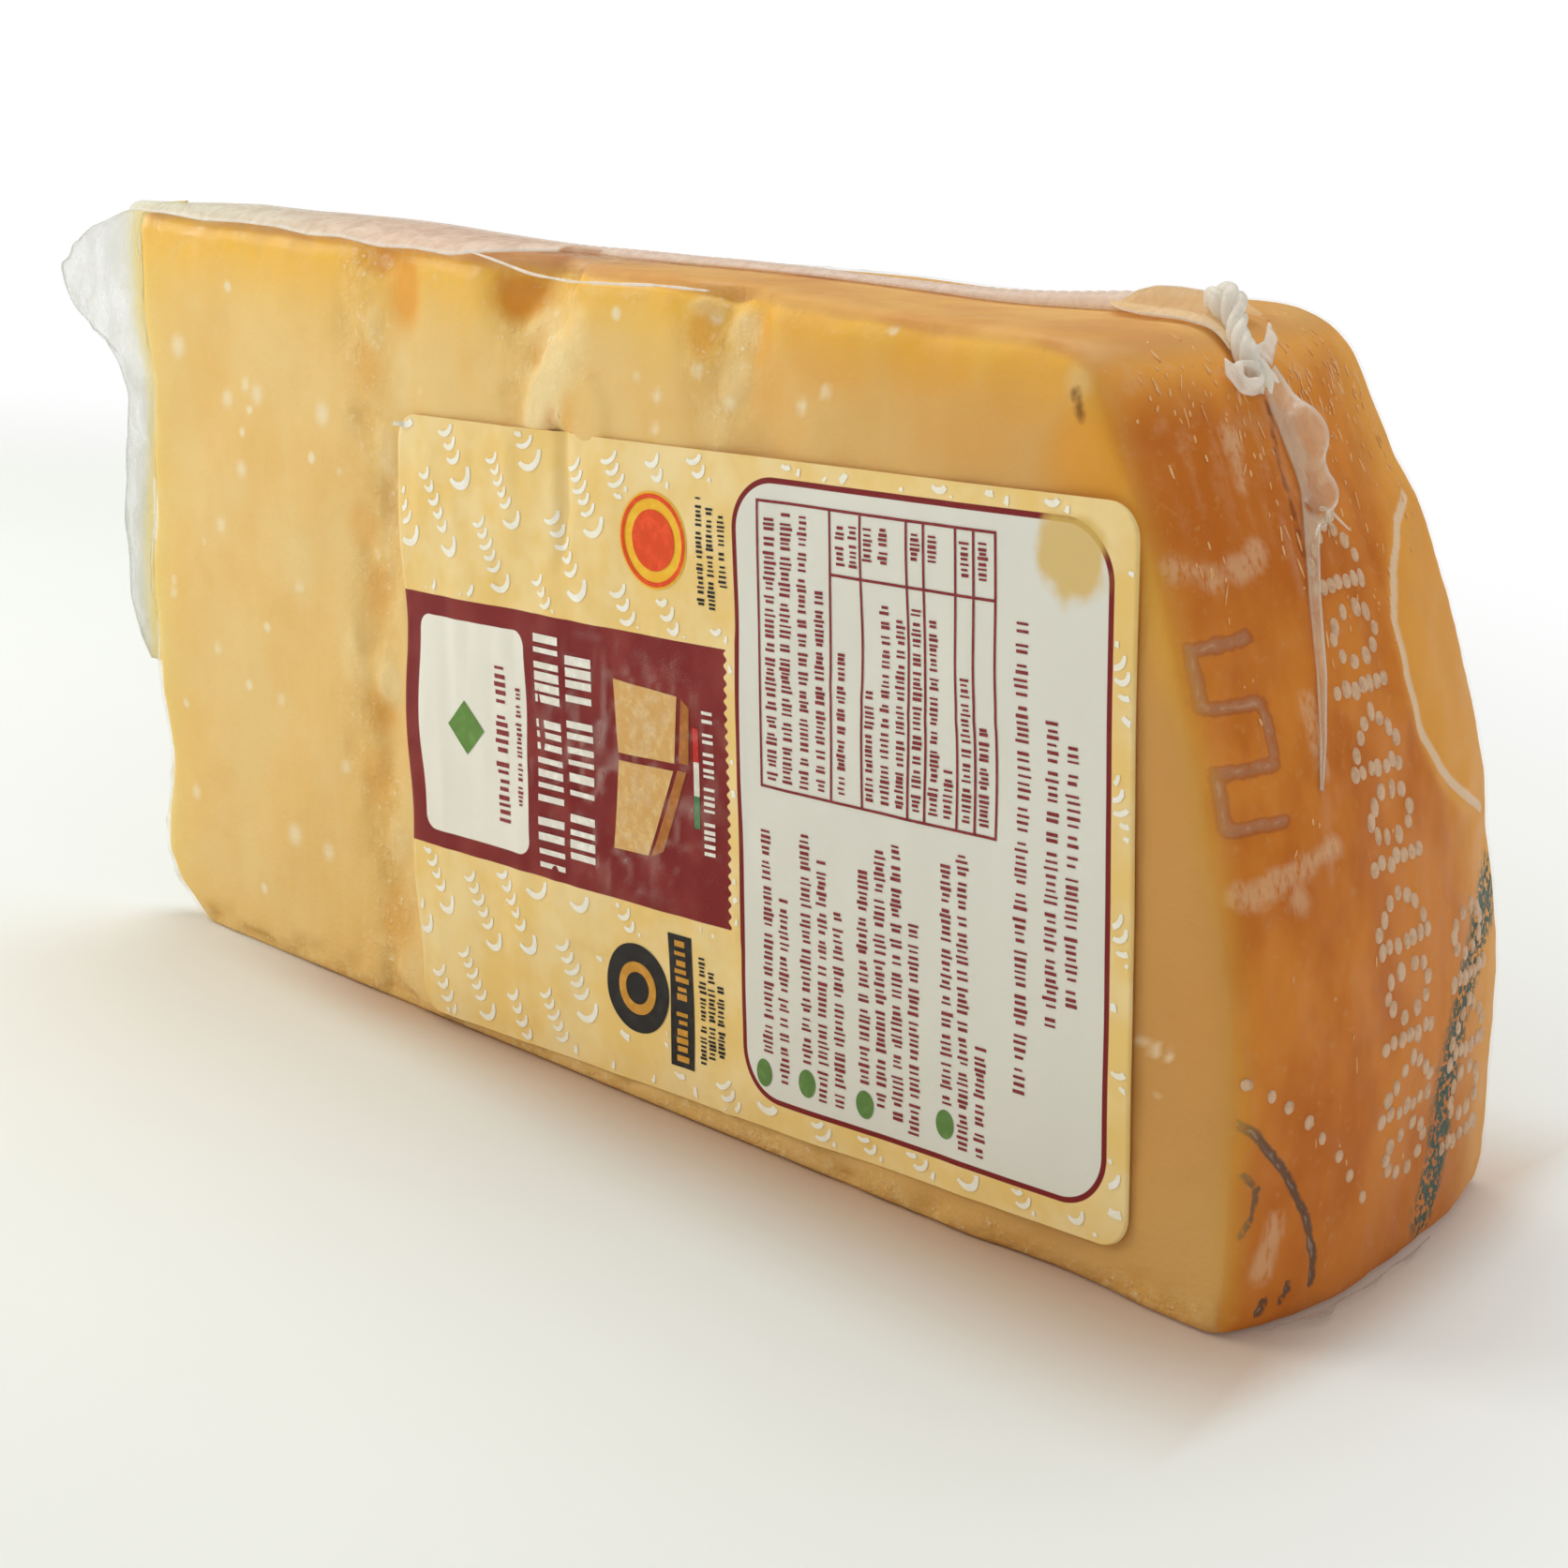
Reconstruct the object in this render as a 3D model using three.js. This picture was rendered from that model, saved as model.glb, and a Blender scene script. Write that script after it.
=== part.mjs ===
// A wedge of hard grating cheese, cut from the upper half of a wheel and shrunk tight in
// clear film, with a paper label on one cut face. Millimetres, +Z up.
//
// Working axes: the wheel's axle is the Z axis, the near cut face lies in the plane Y = 0 and
// runs along +X from the tip to the rind, and the far cut face is turned by WEDGE_ANGLE.
// The finished group is moved so that its origin is under the middle of the whole.

import * as THREE from 'three';

// ---- driving dimensions -------------------------------------------------------------------

const WHEEL_RADIUS = 218.5;      // axle to rind at the wheel's belly
const BELLY_HEIGHT = 25;         // the rind is upright below this and leans in above it
const SHOULDER_DRAW = 26;        // how much smaller the wheel's radius is at its flat side
const BARREL_POWER = 1.6;        // how late the lean sets in
const HEIGHT = 109.5;            // bottom cut to the wheel's flat side
const WEDGE_ANGLE = THREE.MathUtils.degToRad(16);
const BLUNTNESS = 2.5;           // how far the far cut misses the axle
const TIP_DISTANCE = 5;          // axle to the wedge's thin end
const TIP_LAND = 1.4;            // the thin end's own slope, before the cut faces start
const BROKEN_TOE = 11;           // how far the foot of the tip has crumbled back
const TOE_HEIGHT = 11;

const VERTICAL_ROUND = 3;        // upright edges between cut faces and rind
const CRISP_FOOT = 0.45;         // share of it left at the very foot of the near edge
const CRISP_HEIGHT = 14;
const SHOULDER_ROUND = 6.5;      // rind to flat side
const TOP_ROUND = 3.5;           // cut faces to flat side
const BASE_ROUND = 0.8;          // cut faces to the bottom cut
const RIND_FOOT_ROUND = 2.3;     // rind to the bottom cut

const FLAT_SIDE_FALL = 2;        // how far the flat side slopes down to the shoulder
const FALL_FROM = 120;           // the slope starts and ends at these distances
const FALL_TO = 190;
const FALL_ROWS = 30;            // and is shared by this much of the height

const NEAR_DRAW = { depth: 4.2, reach: 24 };   // the film draws the rind in at both cuts
const FAR_DRAW = { depth: 0.8, from: 44, reach: 16 };
const DRAW_BAND = { from: 50, to: 2 };         // fading in over this far inside the rind

const LABEL_WIDTH = 129;
const LABEL_HEIGHT = 85;
const LABEL_CORNER = 4;
const LABEL_TILT = THREE.MathUtils.degToRad(2.3);
const LABEL_CENTRE = { x: 134.6, z: 46.4 };
const LABEL_THICKNESS = 0.4;
const LABEL_GAP = 0.4;           // paper to cheese
const PAPER_FOLLOWS = 0.35;      // paper bridges the hollows and dips into them only a little

const FILM_THICKNESS = 0.5;
const FILM_GAP = 0.4;            // film's welded edge to cheese

// where the cheese broke as it was cut: crumbly columns from top to bottom
const NEAR_COLUMN = { x: 66, wander: 2.2, swing: 11, halfWidth: 7, depth: 1.5, uneven: 5.3 };
const FAR_COLUMN = { x: 88, wander: 3, swing: 13, halfWidth: 8, depth: 1.6, uneven: 6.1 };

// and hollows, which may lean along X as they go down
const NEAR_HOLLOWS = [
  { x: 96, z: HEIGHT + 3, halfWidth: 11, halfHeight: 21, depth: 6.2, lean: 0.22 },
  { x: 103, z: 88, halfWidth: 6, halfHeight: 10, depth: 3.4, lean: 0 },
  { x: 133, z: HEIGHT, halfWidth: 9, halfHeight: 17, depth: 3.2, lean: 0 },
  { x: 139, z: 93, halfWidth: 8, halfHeight: 16, depth: 1, lean: 0 },
  { x: 192, z: 0, halfWidth: 16, halfHeight: 9, depth: 1.2, lean: 0 },
];
const FAR_HOLLOWS = [
  { x: 150, z: HEIGHT, halfWidth: 12, halfHeight: 18, depth: 4.2, lean: 0 },
  { x: 46, z: 30, halfWidth: 10, halfHeight: 20, depth: 2.2, lean: 0 },
  { x: 168, z: 0, halfWidth: 18, halfHeight: 10, depth: 2.4, lean: 0 },
];
const NEAR_SWELL = 0.4;          // the cut faces' own slight waviness
const FAR_SWELL = 0.5;
const THIN_END_SHARE = 0.05;     // hollows stay this shallow where the wedge is thin

// raised oval plate on the rind by the far cut
const OVAL = { along: 58, z: 69, halfWidth: 18, halfHeight: 20, rise: 1.3 };
const RIND_SWELL = 0.35;

// mesh steps along each stretch of the outline
const NEAR_STEPS = 58;
const FAR_STEPS = 30;
const RIND_STEPS = 6;            // on each side of the rind's middle
const ROUND_STEPS = 3;
const SIDE_ROWS = 25;

// ---- small helpers ------------------------------------------------------------------------

const clamp01 = (t) => Math.min(1, Math.max(0, t));

const ease = (low, high, value) => {
  const t = clamp01((value - low) / (high - low));
  return t * t * (3 - 2 * t);
};

// 1 at the centre of an oval, falling smoothly to 0 at its rim
const bump = (du, dv, radiusU, radiusV) => {
  const r = Math.hypot(du / radiusU, dv / radiusV);
  return r < 1 ? (1 - r * r) ** 2 : 0;
};

const ridge = (distance, halfWidth) => bump(distance, 0, halfWidth, 1);

// gentle unevenness between -1 and 1, never repeating within the wedge
const unevenness = (u, v, seed) => (
  Math.sin(u * 0.11 + seed) * Math.cos(v * 0.13 - seed * 1.7)
  + 0.6 * Math.sin(u * 0.29 - v * 0.17 + seed * 2.3)
  + 0.4 * Math.sin(u * 0.53 + v * 0.61 + seed * 3.1)
) / 2;

// how far a round of this radius pulls in at a distance inside its edge
const roundInset = (radius, distance) => {
  if (distance >= radius) return 0;
  const rise = radius - Math.max(0, distance);
  return radius - Math.sqrt(radius * radius - rise * rise);
};

// ---- the wedge's surfaces -----------------------------------------------------------------

// rind radius at a height: upright at the belly, then leaning in up to the rounded shoulder
function rindRadius(z) {
  const above = Math.max(0, z - BELLY_HEIGHT) / (HEIGHT - BELLY_HEIGHT);
  const barrel = WHEEL_RADIUS - SHOULDER_DRAW * above ** BARREL_POWER;
  return barrel - roundInset(SHOULDER_ROUND, HEIGHT - z) - roundInset(RIND_FOOT_ROUND, z);
}

// how far the tight film draws the rind in, at a distance round it from the near cut
function edgeDraw(along) {
  const nearShare = clamp01(1 - along / NEAR_DRAW.reach);
  const farShare = clamp01((along - FAR_DRAW.from) / FAR_DRAW.reach);
  return NEAR_DRAW.depth * nearShare ** 2 + FAR_DRAW.depth * farShare ** 2;
}

// the wheel's flat side falls away a little towards its shoulder
const flatSideFall = (x) => FLAT_SIDE_FALL * ease(FALL_FROM, FALL_TO, x);

// thin end of the wedge: uneven, and crumbled away at its foot
function tipDistance(z) {
  const uneven = 1.2 * Math.sin((z - 66) / 8.3) + 0.5 * Math.sin(z / 3.1);
  const toe = BROKEN_TOE * (1 - ease(0, TOE_HEIGHT, z)) ** 2;
  return TIP_DISTANCE + uneven + toe + roundInset(TOP_ROUND, HEIGHT - z);
}

function columnDepth(column, x, z) {
  const middle = column.x + column.wander * Math.sin(z / column.swing);
  const strength = 0.65 + 0.35 * Math.sin(z / column.uneven);
  return column.depth * strength * ridge(x - middle, column.halfWidth);
}

function hollowDepth(hollows, x, z) {
  let depth = 0;
  for (const h of hollows) {
    const middle = h.x + h.lean * (HEIGHT - z);
    depth += h.depth * bump(x - middle, z - h.z, h.halfWidth, h.halfHeight);
  }
  return depth;
}

function nearDepth(x, z) {
  const column = columnDepth(NEAR_COLUMN, x, z) * ease(6, 20, z);
  const swell = NEAR_SWELL * (1 + unevenness(x, z, 1.3)) * ease(0, 12, z);
  return column + hollowDepth(NEAR_HOLLOWS, x, z) + swell;
}

function farDepth(x, z) {
  const swell = FAR_SWELL * (1 + unevenness(x, z, 4.9));
  return columnDepth(FAR_COLUMN, x, z) + hollowDepth(FAR_HOLLOWS, x, z) + swell;
}

// relief of the rind: the oval plate and the wheel's slight waviness
function rindRise(along, z) {
  const r = Math.hypot((along - OVAL.along) / OVAL.halfWidth, (z - OVAL.z) / OVAL.halfHeight);
  const plate = OVAL.rise * (1 - ease(0.9, 1.04, r));
  return plate + RIND_SWELL * unevenness(along * 1.6, z, 2.2);
}

// ---- the wedge's outline at one height ----------------------------------------------------

const farAlong = new THREE.Vector2(Math.cos(WEDGE_ANGLE), Math.sin(WEDGE_ANGLE));
const farOut = new THREE.Vector2(-Math.sin(WEDGE_ANGLE), Math.cos(WEDGE_ANGLE));
const farOffset = BLUNTNESS * Math.cos(WEDGE_ANGLE);

const midAngle = WEDGE_ANGLE / 2;
const midAlong = new THREE.Vector2(Math.cos(midAngle), Math.sin(midAngle));

// y of the wedge's middle and half its width, at a distance along the near face
const middleY = (x) => BLUNTNESS / 2 + x * Math.tan(midAngle);
const halfWidth = (x) => (BLUNTNESS + x * Math.tan(WEDGE_ANGLE)) / 2;

function arcPoints(centre, radius, from, to, steps) {
  const points = [];
  for (let i = 1; i <= steps; i += 1) {
    const angle = from + (to - from) * (i / steps);
    points.push(new THREE.Vector2(
      centre.x + radius * Math.cos(angle),
      centre.y + radius * Math.sin(angle),
    ));
  }
  return points;
}

// two chains from the middle of the thin end to the middle of the rind
function outlineAt(z) {
  const radius = rindRadius(z);
  const tip = tipDistance(z);
  const nearRound = VERTICAL_ROUND * (CRISP_FOOT + (1 - CRISP_FOOT) * ease(0, CRISP_HEIGHT, z));
  const nearReach = Math.sqrt((radius - nearRound) ** 2 - nearRound ** 2);
  const nearCentre = new THREE.Vector2(nearReach, nearRound);
  const farSide = farOffset - VERTICAL_ROUND;
  const farReach = Math.sqrt((radius - VERTICAL_ROUND) ** 2 - farSide ** 2);
  const farCentre = farAlong.clone().multiplyScalar(farReach).addScaledVector(farOut, farSide);
  const middleRind = (nearCentre.angle() + farCentre.angle()) / 2;
  const axle = new THREE.Vector2(0, 0);
  const tipPoint = new THREE.Vector2(tip, middleY(tip));

  const near = [tipPoint.clone()];
  for (let i = 0; i <= NEAR_STEPS; i += 1) {
    const x = THREE.MathUtils.lerp(tip + TIP_LAND, nearReach, i / NEAR_STEPS);
    near.push(new THREE.Vector2(x, nearDepth(x, z)));
  }
  const nearEnd = near.at(-1).y;
  arcPoints(nearCentre, nearRound, -Math.PI / 2, nearCentre.angle(), ROUND_STEPS)
    .forEach((p, i) => near.push(p.setY(p.y + nearEnd * (1 - (i + 1) / ROUND_STEPS))));
  near.push(...arcPoints(axle, radius, nearCentre.angle(), middleRind, RIND_STEPS));

  const far = [tipPoint];
  for (let i = 0; i <= FAR_STEPS; i += 1) {
    const along = THREE.MathUtils.lerp(tip + TIP_LAND, farReach, i / FAR_STEPS);
    const depth = Math.min(farDepth(along, z), along * THIN_END_SHARE);
    far.push(farAlong.clone().multiplyScalar(along).addScaledVector(farOut, farOffset - depth));
  }
  const farEnd = farDepth(farReach, z);
  arcPoints(farCentre, VERTICAL_ROUND, WEDGE_ANGLE + Math.PI / 2, farCentre.angle(), ROUND_STEPS)
    .forEach((p, i) => far.push(p.addScaledVector(farOut, -farEnd * (1 - (i + 1) / ROUND_STEPS))));
  far.push(...arcPoints(axle, radius, farCentre.angle(), middleRind, RIND_STEPS));

  for (const chain of [near, far]) {
    for (const p of chain.slice(-RIND_STEPS - 1)) {
      p.setLength(p.length() + rindRise(p.angle() * WHEEL_RADIUS, z));
    }
    for (const p of chain) {
      const along = Math.atan2(p.y, p.x) * WHEEL_RADIUS;
      const share = ease(radius - DRAW_BAND.from, radius - DRAW_BAND.to, p.length());
      p.setLength(p.length() - edgeDraw(along) * share);
    }
  }

  // the foot and the top draw in towards the middle
  const inset = roundInset(TOP_ROUND, HEIGHT - z) + roundInset(BASE_ROUND, z);
  const mostShare = 0.45;
  for (const chain of [near, far]) {
    for (const p of chain) {
      const share = Math.min(mostShare, inset / halfWidth(p.x));
      p.y = THREE.MathUtils.lerp(p.y, middleY(p.x), share);
    }
  }
  return { near, far };
}

// ---- geometry from rows of points ---------------------------------------------------------

function geometryFrom(vertices, triangles) {
  const geometry = new THREE.BufferGeometry();
  geometry.setAttribute('position', new THREE.Float32BufferAttribute(vertices.flat(), 3));
  geometry.setIndex(triangles.flat());
  geometry.computeVertexNormals();
  return geometry;
}

// closes the strip between two chains that both run from the thin end to the rind
function zipChains(near, far, position) {
  const triangles = [];
  const reach = (index) => position(index).dot(midAlong);
  let i = 0;
  let j = 0;
  while (i < near.length - 1 || j < far.length - 1) {
    const nearNext = i < near.length - 1 ? reach(near[i + 1]) : Infinity;
    const farNext = j < far.length - 1 ? reach(far[j + 1]) : Infinity;
    const takeNear = nearNext <= farNext;
    const corner = takeNear ? near[i + 1] : far[j + 1];
    if (near[i] !== far[j] && near[i] !== corner && far[j] !== corner) {
      triangles.push([near[i], corner, far[j]]);
    }
    if (takeNear) i += 1;
    else j += 1;
  }
  return triangles;
}

// heights of the rows: close together in the rounds, even between them
function rowHeights() {
  const foot = [0, 0.12, 0.45, 1].map((t) => t * BASE_ROUND);
  const top = [1, 0.72, 0.47, 0.26, 0.1, 0.025, 0].map((t) => HEIGHT - t * SHOULDER_ROUND);
  const side = [];
  for (let i = 1; i < SIDE_ROWS; i += 1) {
    side.push(THREE.MathUtils.lerp(foot.at(-1), top[0], i / SIDE_ROWS));
  }
  return [...foot, ...side, ...top];
}

// the rows near the top follow the flat side's fall
const lowered = (x, z) => z - flatSideFall(x) * ease(HEIGHT - FALL_ROWS, HEIGHT, z);

function cheeseGeometry() {
  const vertices = [];
  const triangles = [];
  let below = null;
  let bottom = null;
  let chains = null;

  for (const z of rowHeights()) {
    const { near, far } = outlineAt(z);
    const start = vertices.length;
    for (const p of [...near, ...far.slice(1, -1)]) {
      vertices.push([p.x, p.y, lowered(p.x, z)]);
    }
    const nearIndex = near.map((_, i) => start + i);
    const farIndex = [
      start,
      ...far.slice(1, -1).map((_, i) => start + near.length + i),
      start + near.length - 1,
    ];
    chains = { near: nearIndex, far: farIndex };
    bottom ??= chains;
    const ring = [...nearIndex, ...farIndex.slice(1, -1).reverse()];
    if (below) {
      for (let i = 0; i < ring.length; i += 1) {
        const next = (i + 1) % ring.length;
        triangles.push([below[i], below[next], ring[next]]);
        triangles.push([below[i], ring[next], ring[i]]);
      }
    }
    below = ring;
  }

  const plan = (index) => new THREE.Vector2(vertices[index][0], vertices[index][1]);
  triangles.push(...zipChains(chains.near, chains.far, plan));
  triangles.push(...zipChains(bottom.near, bottom.far, plan).map((t) => t.reverse()));
  return geometryFrom(vertices, triangles);
}

// ---- thin sheets --------------------------------------------------------------------------

// a closed sheet from a grid of points and their outward steps: front, back and rim
function sheetGeometry(rows, columns, pointAt, thicknessAt) {
  const vertices = [];
  const triangles = [];
  const width = columns + 1;
  const layer = (rows + 1) * width;
  for (const side of [0, 1]) {
    for (let i = 0; i <= rows; i += 1) {
      for (let j = 0; j <= columns; j += 1) {
        const p = pointAt(i / rows, j / columns);
        p.addScaledVector(thicknessAt(i / rows, j / columns), side);
        vertices.push(p.toArray());
      }
    }
  }
  const at = (i, j) => i * width + j;
  for (let i = 0; i < rows; i += 1) {
    for (let j = 0; j < columns; j += 1) {
      const [a, b, c, d] = [at(i, j), at(i, j + 1), at(i + 1, j + 1), at(i + 1, j)];
      triangles.push([a, c, b], [a, d, c]);
      triangles.push([a + layer, b + layer, c + layer], [a + layer, c + layer, d + layer]);
    }
  }
  const rim = [];
  for (let j = 0; j < columns; j += 1) rim.push([at(0, j), at(0, j + 1)]);
  for (let i = 0; i < rows; i += 1) rim.push([at(i, columns), at(i + 1, columns)]);
  for (let j = columns; j > 0; j -= 1) rim.push([at(rows, j), at(rows, j - 1)]);
  for (let i = rows; i > 0; i -= 1) rim.push([at(i, 0), at(i - 1, 0)]);
  for (const [a, b] of rim) {
    triangles.push([a, b, b + layer], [a, b + layer, a + layer]);
  }
  return geometryFrom(vertices, triangles);
}

// ---- the label ----------------------------------------------------------------------------

const LABEL_ROWS = 16;
const LABEL_COLUMNS = 26;
const CROWDED_STEPS = 0.08;      // this share of the grid at each end
const CROWDED_EDGE = 0.035;      // covers this share of the paper

// a point of the paper's back, from shares of its height and width; corners are rounded
function labelPoint(u, v) {
  let x = (v - 0.5) * LABEL_WIDTH;
  let z = (u - 0.5) * LABEL_HEIGHT;
  const cutX = LABEL_WIDTH / 2 - LABEL_CORNER;
  const cutZ = LABEL_HEIGHT / 2 - LABEL_CORNER;
  const overX = Math.abs(x) - cutX;
  const overZ = Math.abs(z) - cutZ;
  if (overX > 0 && overZ > 0) {
    const scale = Math.max(overX, overZ) / Math.hypot(overX, overZ);
    x = Math.sign(x) * (cutX + overX * scale);
    z = Math.sign(z) * (cutZ + overZ * scale);
  }
  const turnedX = LABEL_CENTRE.x + x * Math.cos(LABEL_TILT) - z * Math.sin(LABEL_TILT);
  const turnedZ = LABEL_CENTRE.z + x * Math.sin(LABEL_TILT) + z * Math.cos(LABEL_TILT);
  const depth = PAPER_FOLLOWS * nearDepth(turnedX, turnedZ);
  return new THREE.Vector3(turnedX, depth - LABEL_GAP, turnedZ);
}

// grid lines crowd towards the corners, so that the corners come out round
const crowd = (t) => {
  if (t < CROWDED_STEPS) return (t / CROWDED_STEPS) * CROWDED_EDGE;
  if (t > 1 - CROWDED_STEPS) return 1 - ((1 - t) / CROWDED_STEPS) * CROWDED_EDGE;
  const between = (t - CROWDED_STEPS) / (1 - 2 * CROWDED_STEPS);
  return CROWDED_EDGE + between * (1 - 2 * CROWDED_EDGE);
};

function labelGeometry() {
  const outward = new THREE.Vector3(0, -LABEL_THICKNESS, 0);
  return sheetGeometry(
    LABEL_ROWS,
    LABEL_COLUMNS,
    (u, v) => labelPoint(crowd(u), crowd(v)),
    () => outward,
  );
}

// ---- the film's welded edge ---------------------------------------------------------------

const FILM_MIDDLE = new THREE.Vector3(-Math.sin(midAngle), Math.cos(midAngle), 0);

// a point of the film's middle plane, from its distance along the wedge and its height
const onMiddle = (along, z) => new THREE.Vector3(
  along * midAlong.x,
  along * midAlong.y + BLUNTNESS / 2,
  z,
);

// a point on the rind, from its distance round the rind, its height and its clearance
const onRind = (along, z, clearance) => {
  const angle = along / WHEEL_RADIUS;
  const radius = rindRadius(z) - edgeDraw(along) + clearance;
  return new THREE.Vector3(radius * Math.cos(angle), radius * Math.sin(angle), z);
};

// a ribbon that stands on a route in the middle plane, leaning to the far side
function ribbonGeometry({ route, steps, across, widthAt, leanAt, rippleAt }) {
  const curve = new THREE.CatmullRomCurve3(route, false, 'centripetal');
  const frameAt = (u) => {
    const point = curve.getPointAt(u);
    const tangent = curve.getTangentAt(u);
    const outward = new THREE.Vector3().crossVectors(tangent, FILM_MIDDLE).normalize();
    const lean = leanAt(u);
    const rise = outward.clone().multiplyScalar(Math.cos(lean))
      .addScaledVector(FILM_MIDDLE, Math.sin(lean));
    const face = FILM_MIDDLE.clone().multiplyScalar(Math.cos(lean))
      .addScaledVector(outward, -Math.sin(lean));
    return { point, rise, face };
  };
  return sheetGeometry(
    steps,
    across,
    (u, v) => {
      const { point, rise, face } = frameAt(u);
      const back = rippleAt(u, v) - FILM_THICKNESS;
      return point.addScaledVector(rise, v * widthAt(u)).addScaledVector(face, back);
    },
    (u) => frameAt(u).face.multiplyScalar(FILM_THICKNESS),
  );
}

const TIP_SEAM = {
  foot: 40,                      // the weld starts at this height
  clearance: 2,                  // route to the thin end, enough for the fin's thickness
  width: 6,
  lobe: { z: 98.5, halfHeight: 15, extra: 11.5 },
  waist: { z: 79, halfHeight: 8, less: 1.6 },
  narrowsFrom: 101,              // up to the wedge's corner
  cornerShare: 0.25,
};

// up the thin end: a narrow fin that spreads into a lobe below the upper corner
function tipSeamGeometry() {
  const { foot, lobe, waist } = TIP_SEAM;
  const heights = [foot, 52, 64, 76, 88, 98, HEIGHT - 0.5];
  return ribbonGeometry({
    route: heights.map((z) => onMiddle(tipDistance(z) - TIP_SEAM.clearance, z)),
    steps: 36,
    across: 5,
    widthAt: (u) => {
      const z = THREE.MathUtils.lerp(foot, HEIGHT, u);
      const start = TIP_SEAM.cornerShare + (1 - TIP_SEAM.cornerShare) * ease(0, 0.04, u);
      const spread = lobe.extra * ridge(z - lobe.z, lobe.halfHeight);
      const drawn = waist.less * ridge(z - waist.z, waist.halfHeight);
      const corner = 1 - (1 - TIP_SEAM.cornerShare) * ease(TIP_SEAM.narrowsFrom, HEIGHT, z);
      return (TIP_SEAM.width * start + spread - drawn) * corner;
    },
    leanAt: (u) => 0.15 * Math.sin(u * 14),
    rippleAt: (u, v) => v * (0.9 + 1.3 * ease(0.6, 1, u)) * Math.sin(u * 31 + v * 2),
  });
}

const TOP_SEAM = { width: 7.2, startNarrower: 4, wave: 1, lift: 0.12, clearance: 0.5 };

// along the flat side: folded over until it nearly lies on the cheese
function topSeamGeometry() {
  const stations = [10, 40, 70, 100, 130, 155, 170];
  const flat = 1.52;             // lean in radians, once it has folded over
  return ribbonGeometry({
    route: stations.map((x) => onMiddle(x, HEIGHT - flatSideFall(x) + TOP_SEAM.clearance)),
    steps: 44,
    across: 3,
    widthAt: (u) => {
      const start = TOP_SEAM.startNarrower * (1 - ease(0, 0.12, u));
      return TOP_SEAM.width + TOP_SEAM.wave * Math.sin(u * 19) - start;
    },
    leanAt: (u) => flat - 0.14 * (1 - ease(0.03, 0.2, u)),
    rippleAt: (u, v) => -TOP_SEAM.lift * v * (1 + Math.sin(u * 57)),
  });
}

const RIND_FLAP = {
  foot: 60,                      // it runs out in a crease at this height
  footAlong: 16,                 // and at this distance round the rind
  slant: 0.24,
  clearance: 1.2,
  crease: 1.5,
  flare: { at: 0.12, halfLength: 0.44, extra: 8.5 },
  lift: 0.45,
};

// down the rind: a loose flap that lies against it and runs out in a crease
function rindSeamGeometry() {
  const { foot, footAlong, slant, flare } = RIND_FLAP;
  const heights = [100, 95, 90, 84, 78, 72, 66, foot];
  return ribbonGeometry({
    route: heights.map((z) => onRind(footAlong + (z - foot) * slant, z, RIND_FLAP.clearance)),
    steps: 28,
    across: 4,
    widthAt: (u) => {
      const scallops = 0.7 * Math.sin(u * 23) * (1 - u);
      return RIND_FLAP.crease + flare.extra * ridge(u - flare.at, flare.halfLength) + scallops;
    },
    leanAt: (u) => 1.36 + 0.06 * ease(0, 0.3, u),
    rippleAt: (u, v) => -RIND_FLAP.lift * v * (1 + Math.sin(u * 29 + 1)) * (1 - 0.7 * u),
  });
}

const FOOT_LIP = {
  from: 4,                       // round the rind from the near cut
  to: 40,
  height: 0.5,
  reach: 0.7,
  ear: { along: 12.5, halfLength: 4.5, reach: 1.5 },
};

// a lip of film that stands out under the rind, just clear of the table
function footLipGeometry() {
  const { from, to, height, reach, ear } = FOOT_LIP;
  const up = new THREE.Vector3(0, 0, FILM_THICKNESS);
  return sheetGeometry(
    28,
    2,
    (u, v) => {
      const along = THREE.MathUtils.lerp(from, to, u);
      const stand = reach * (0.7 + 0.3 * Math.sin(along * 0.6));
      const width = stand + ear.reach * ridge(along - ear.along, ear.halfLength);
      const radius = rindRadius(height + FILM_THICKNESS) - edgeDraw(along) + FILM_GAP + v * width;
      const angle = along / WHEEL_RADIUS;
      const rise = 0.2 * v * (1 + Math.sin(along * 0.7));
      return new THREE.Vector3(
        radius * Math.cos(angle),
        radius * Math.sin(angle),
        height + rise,
      );
    },
    () => up,
  );
}

// where the two welds meet at the shoulder the film is drawn into a twisted rope
const ROPE = {
  sides: 16,
  rings: 18,
  radius: 1.4,
  ridges: 5,
  ridgeDepth: 0.22,
  turns: 1.6,
  startShare: 0.5,
  bulb: { at: 0.86, halfLength: 0.3, extra: 0.75 },
};

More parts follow.
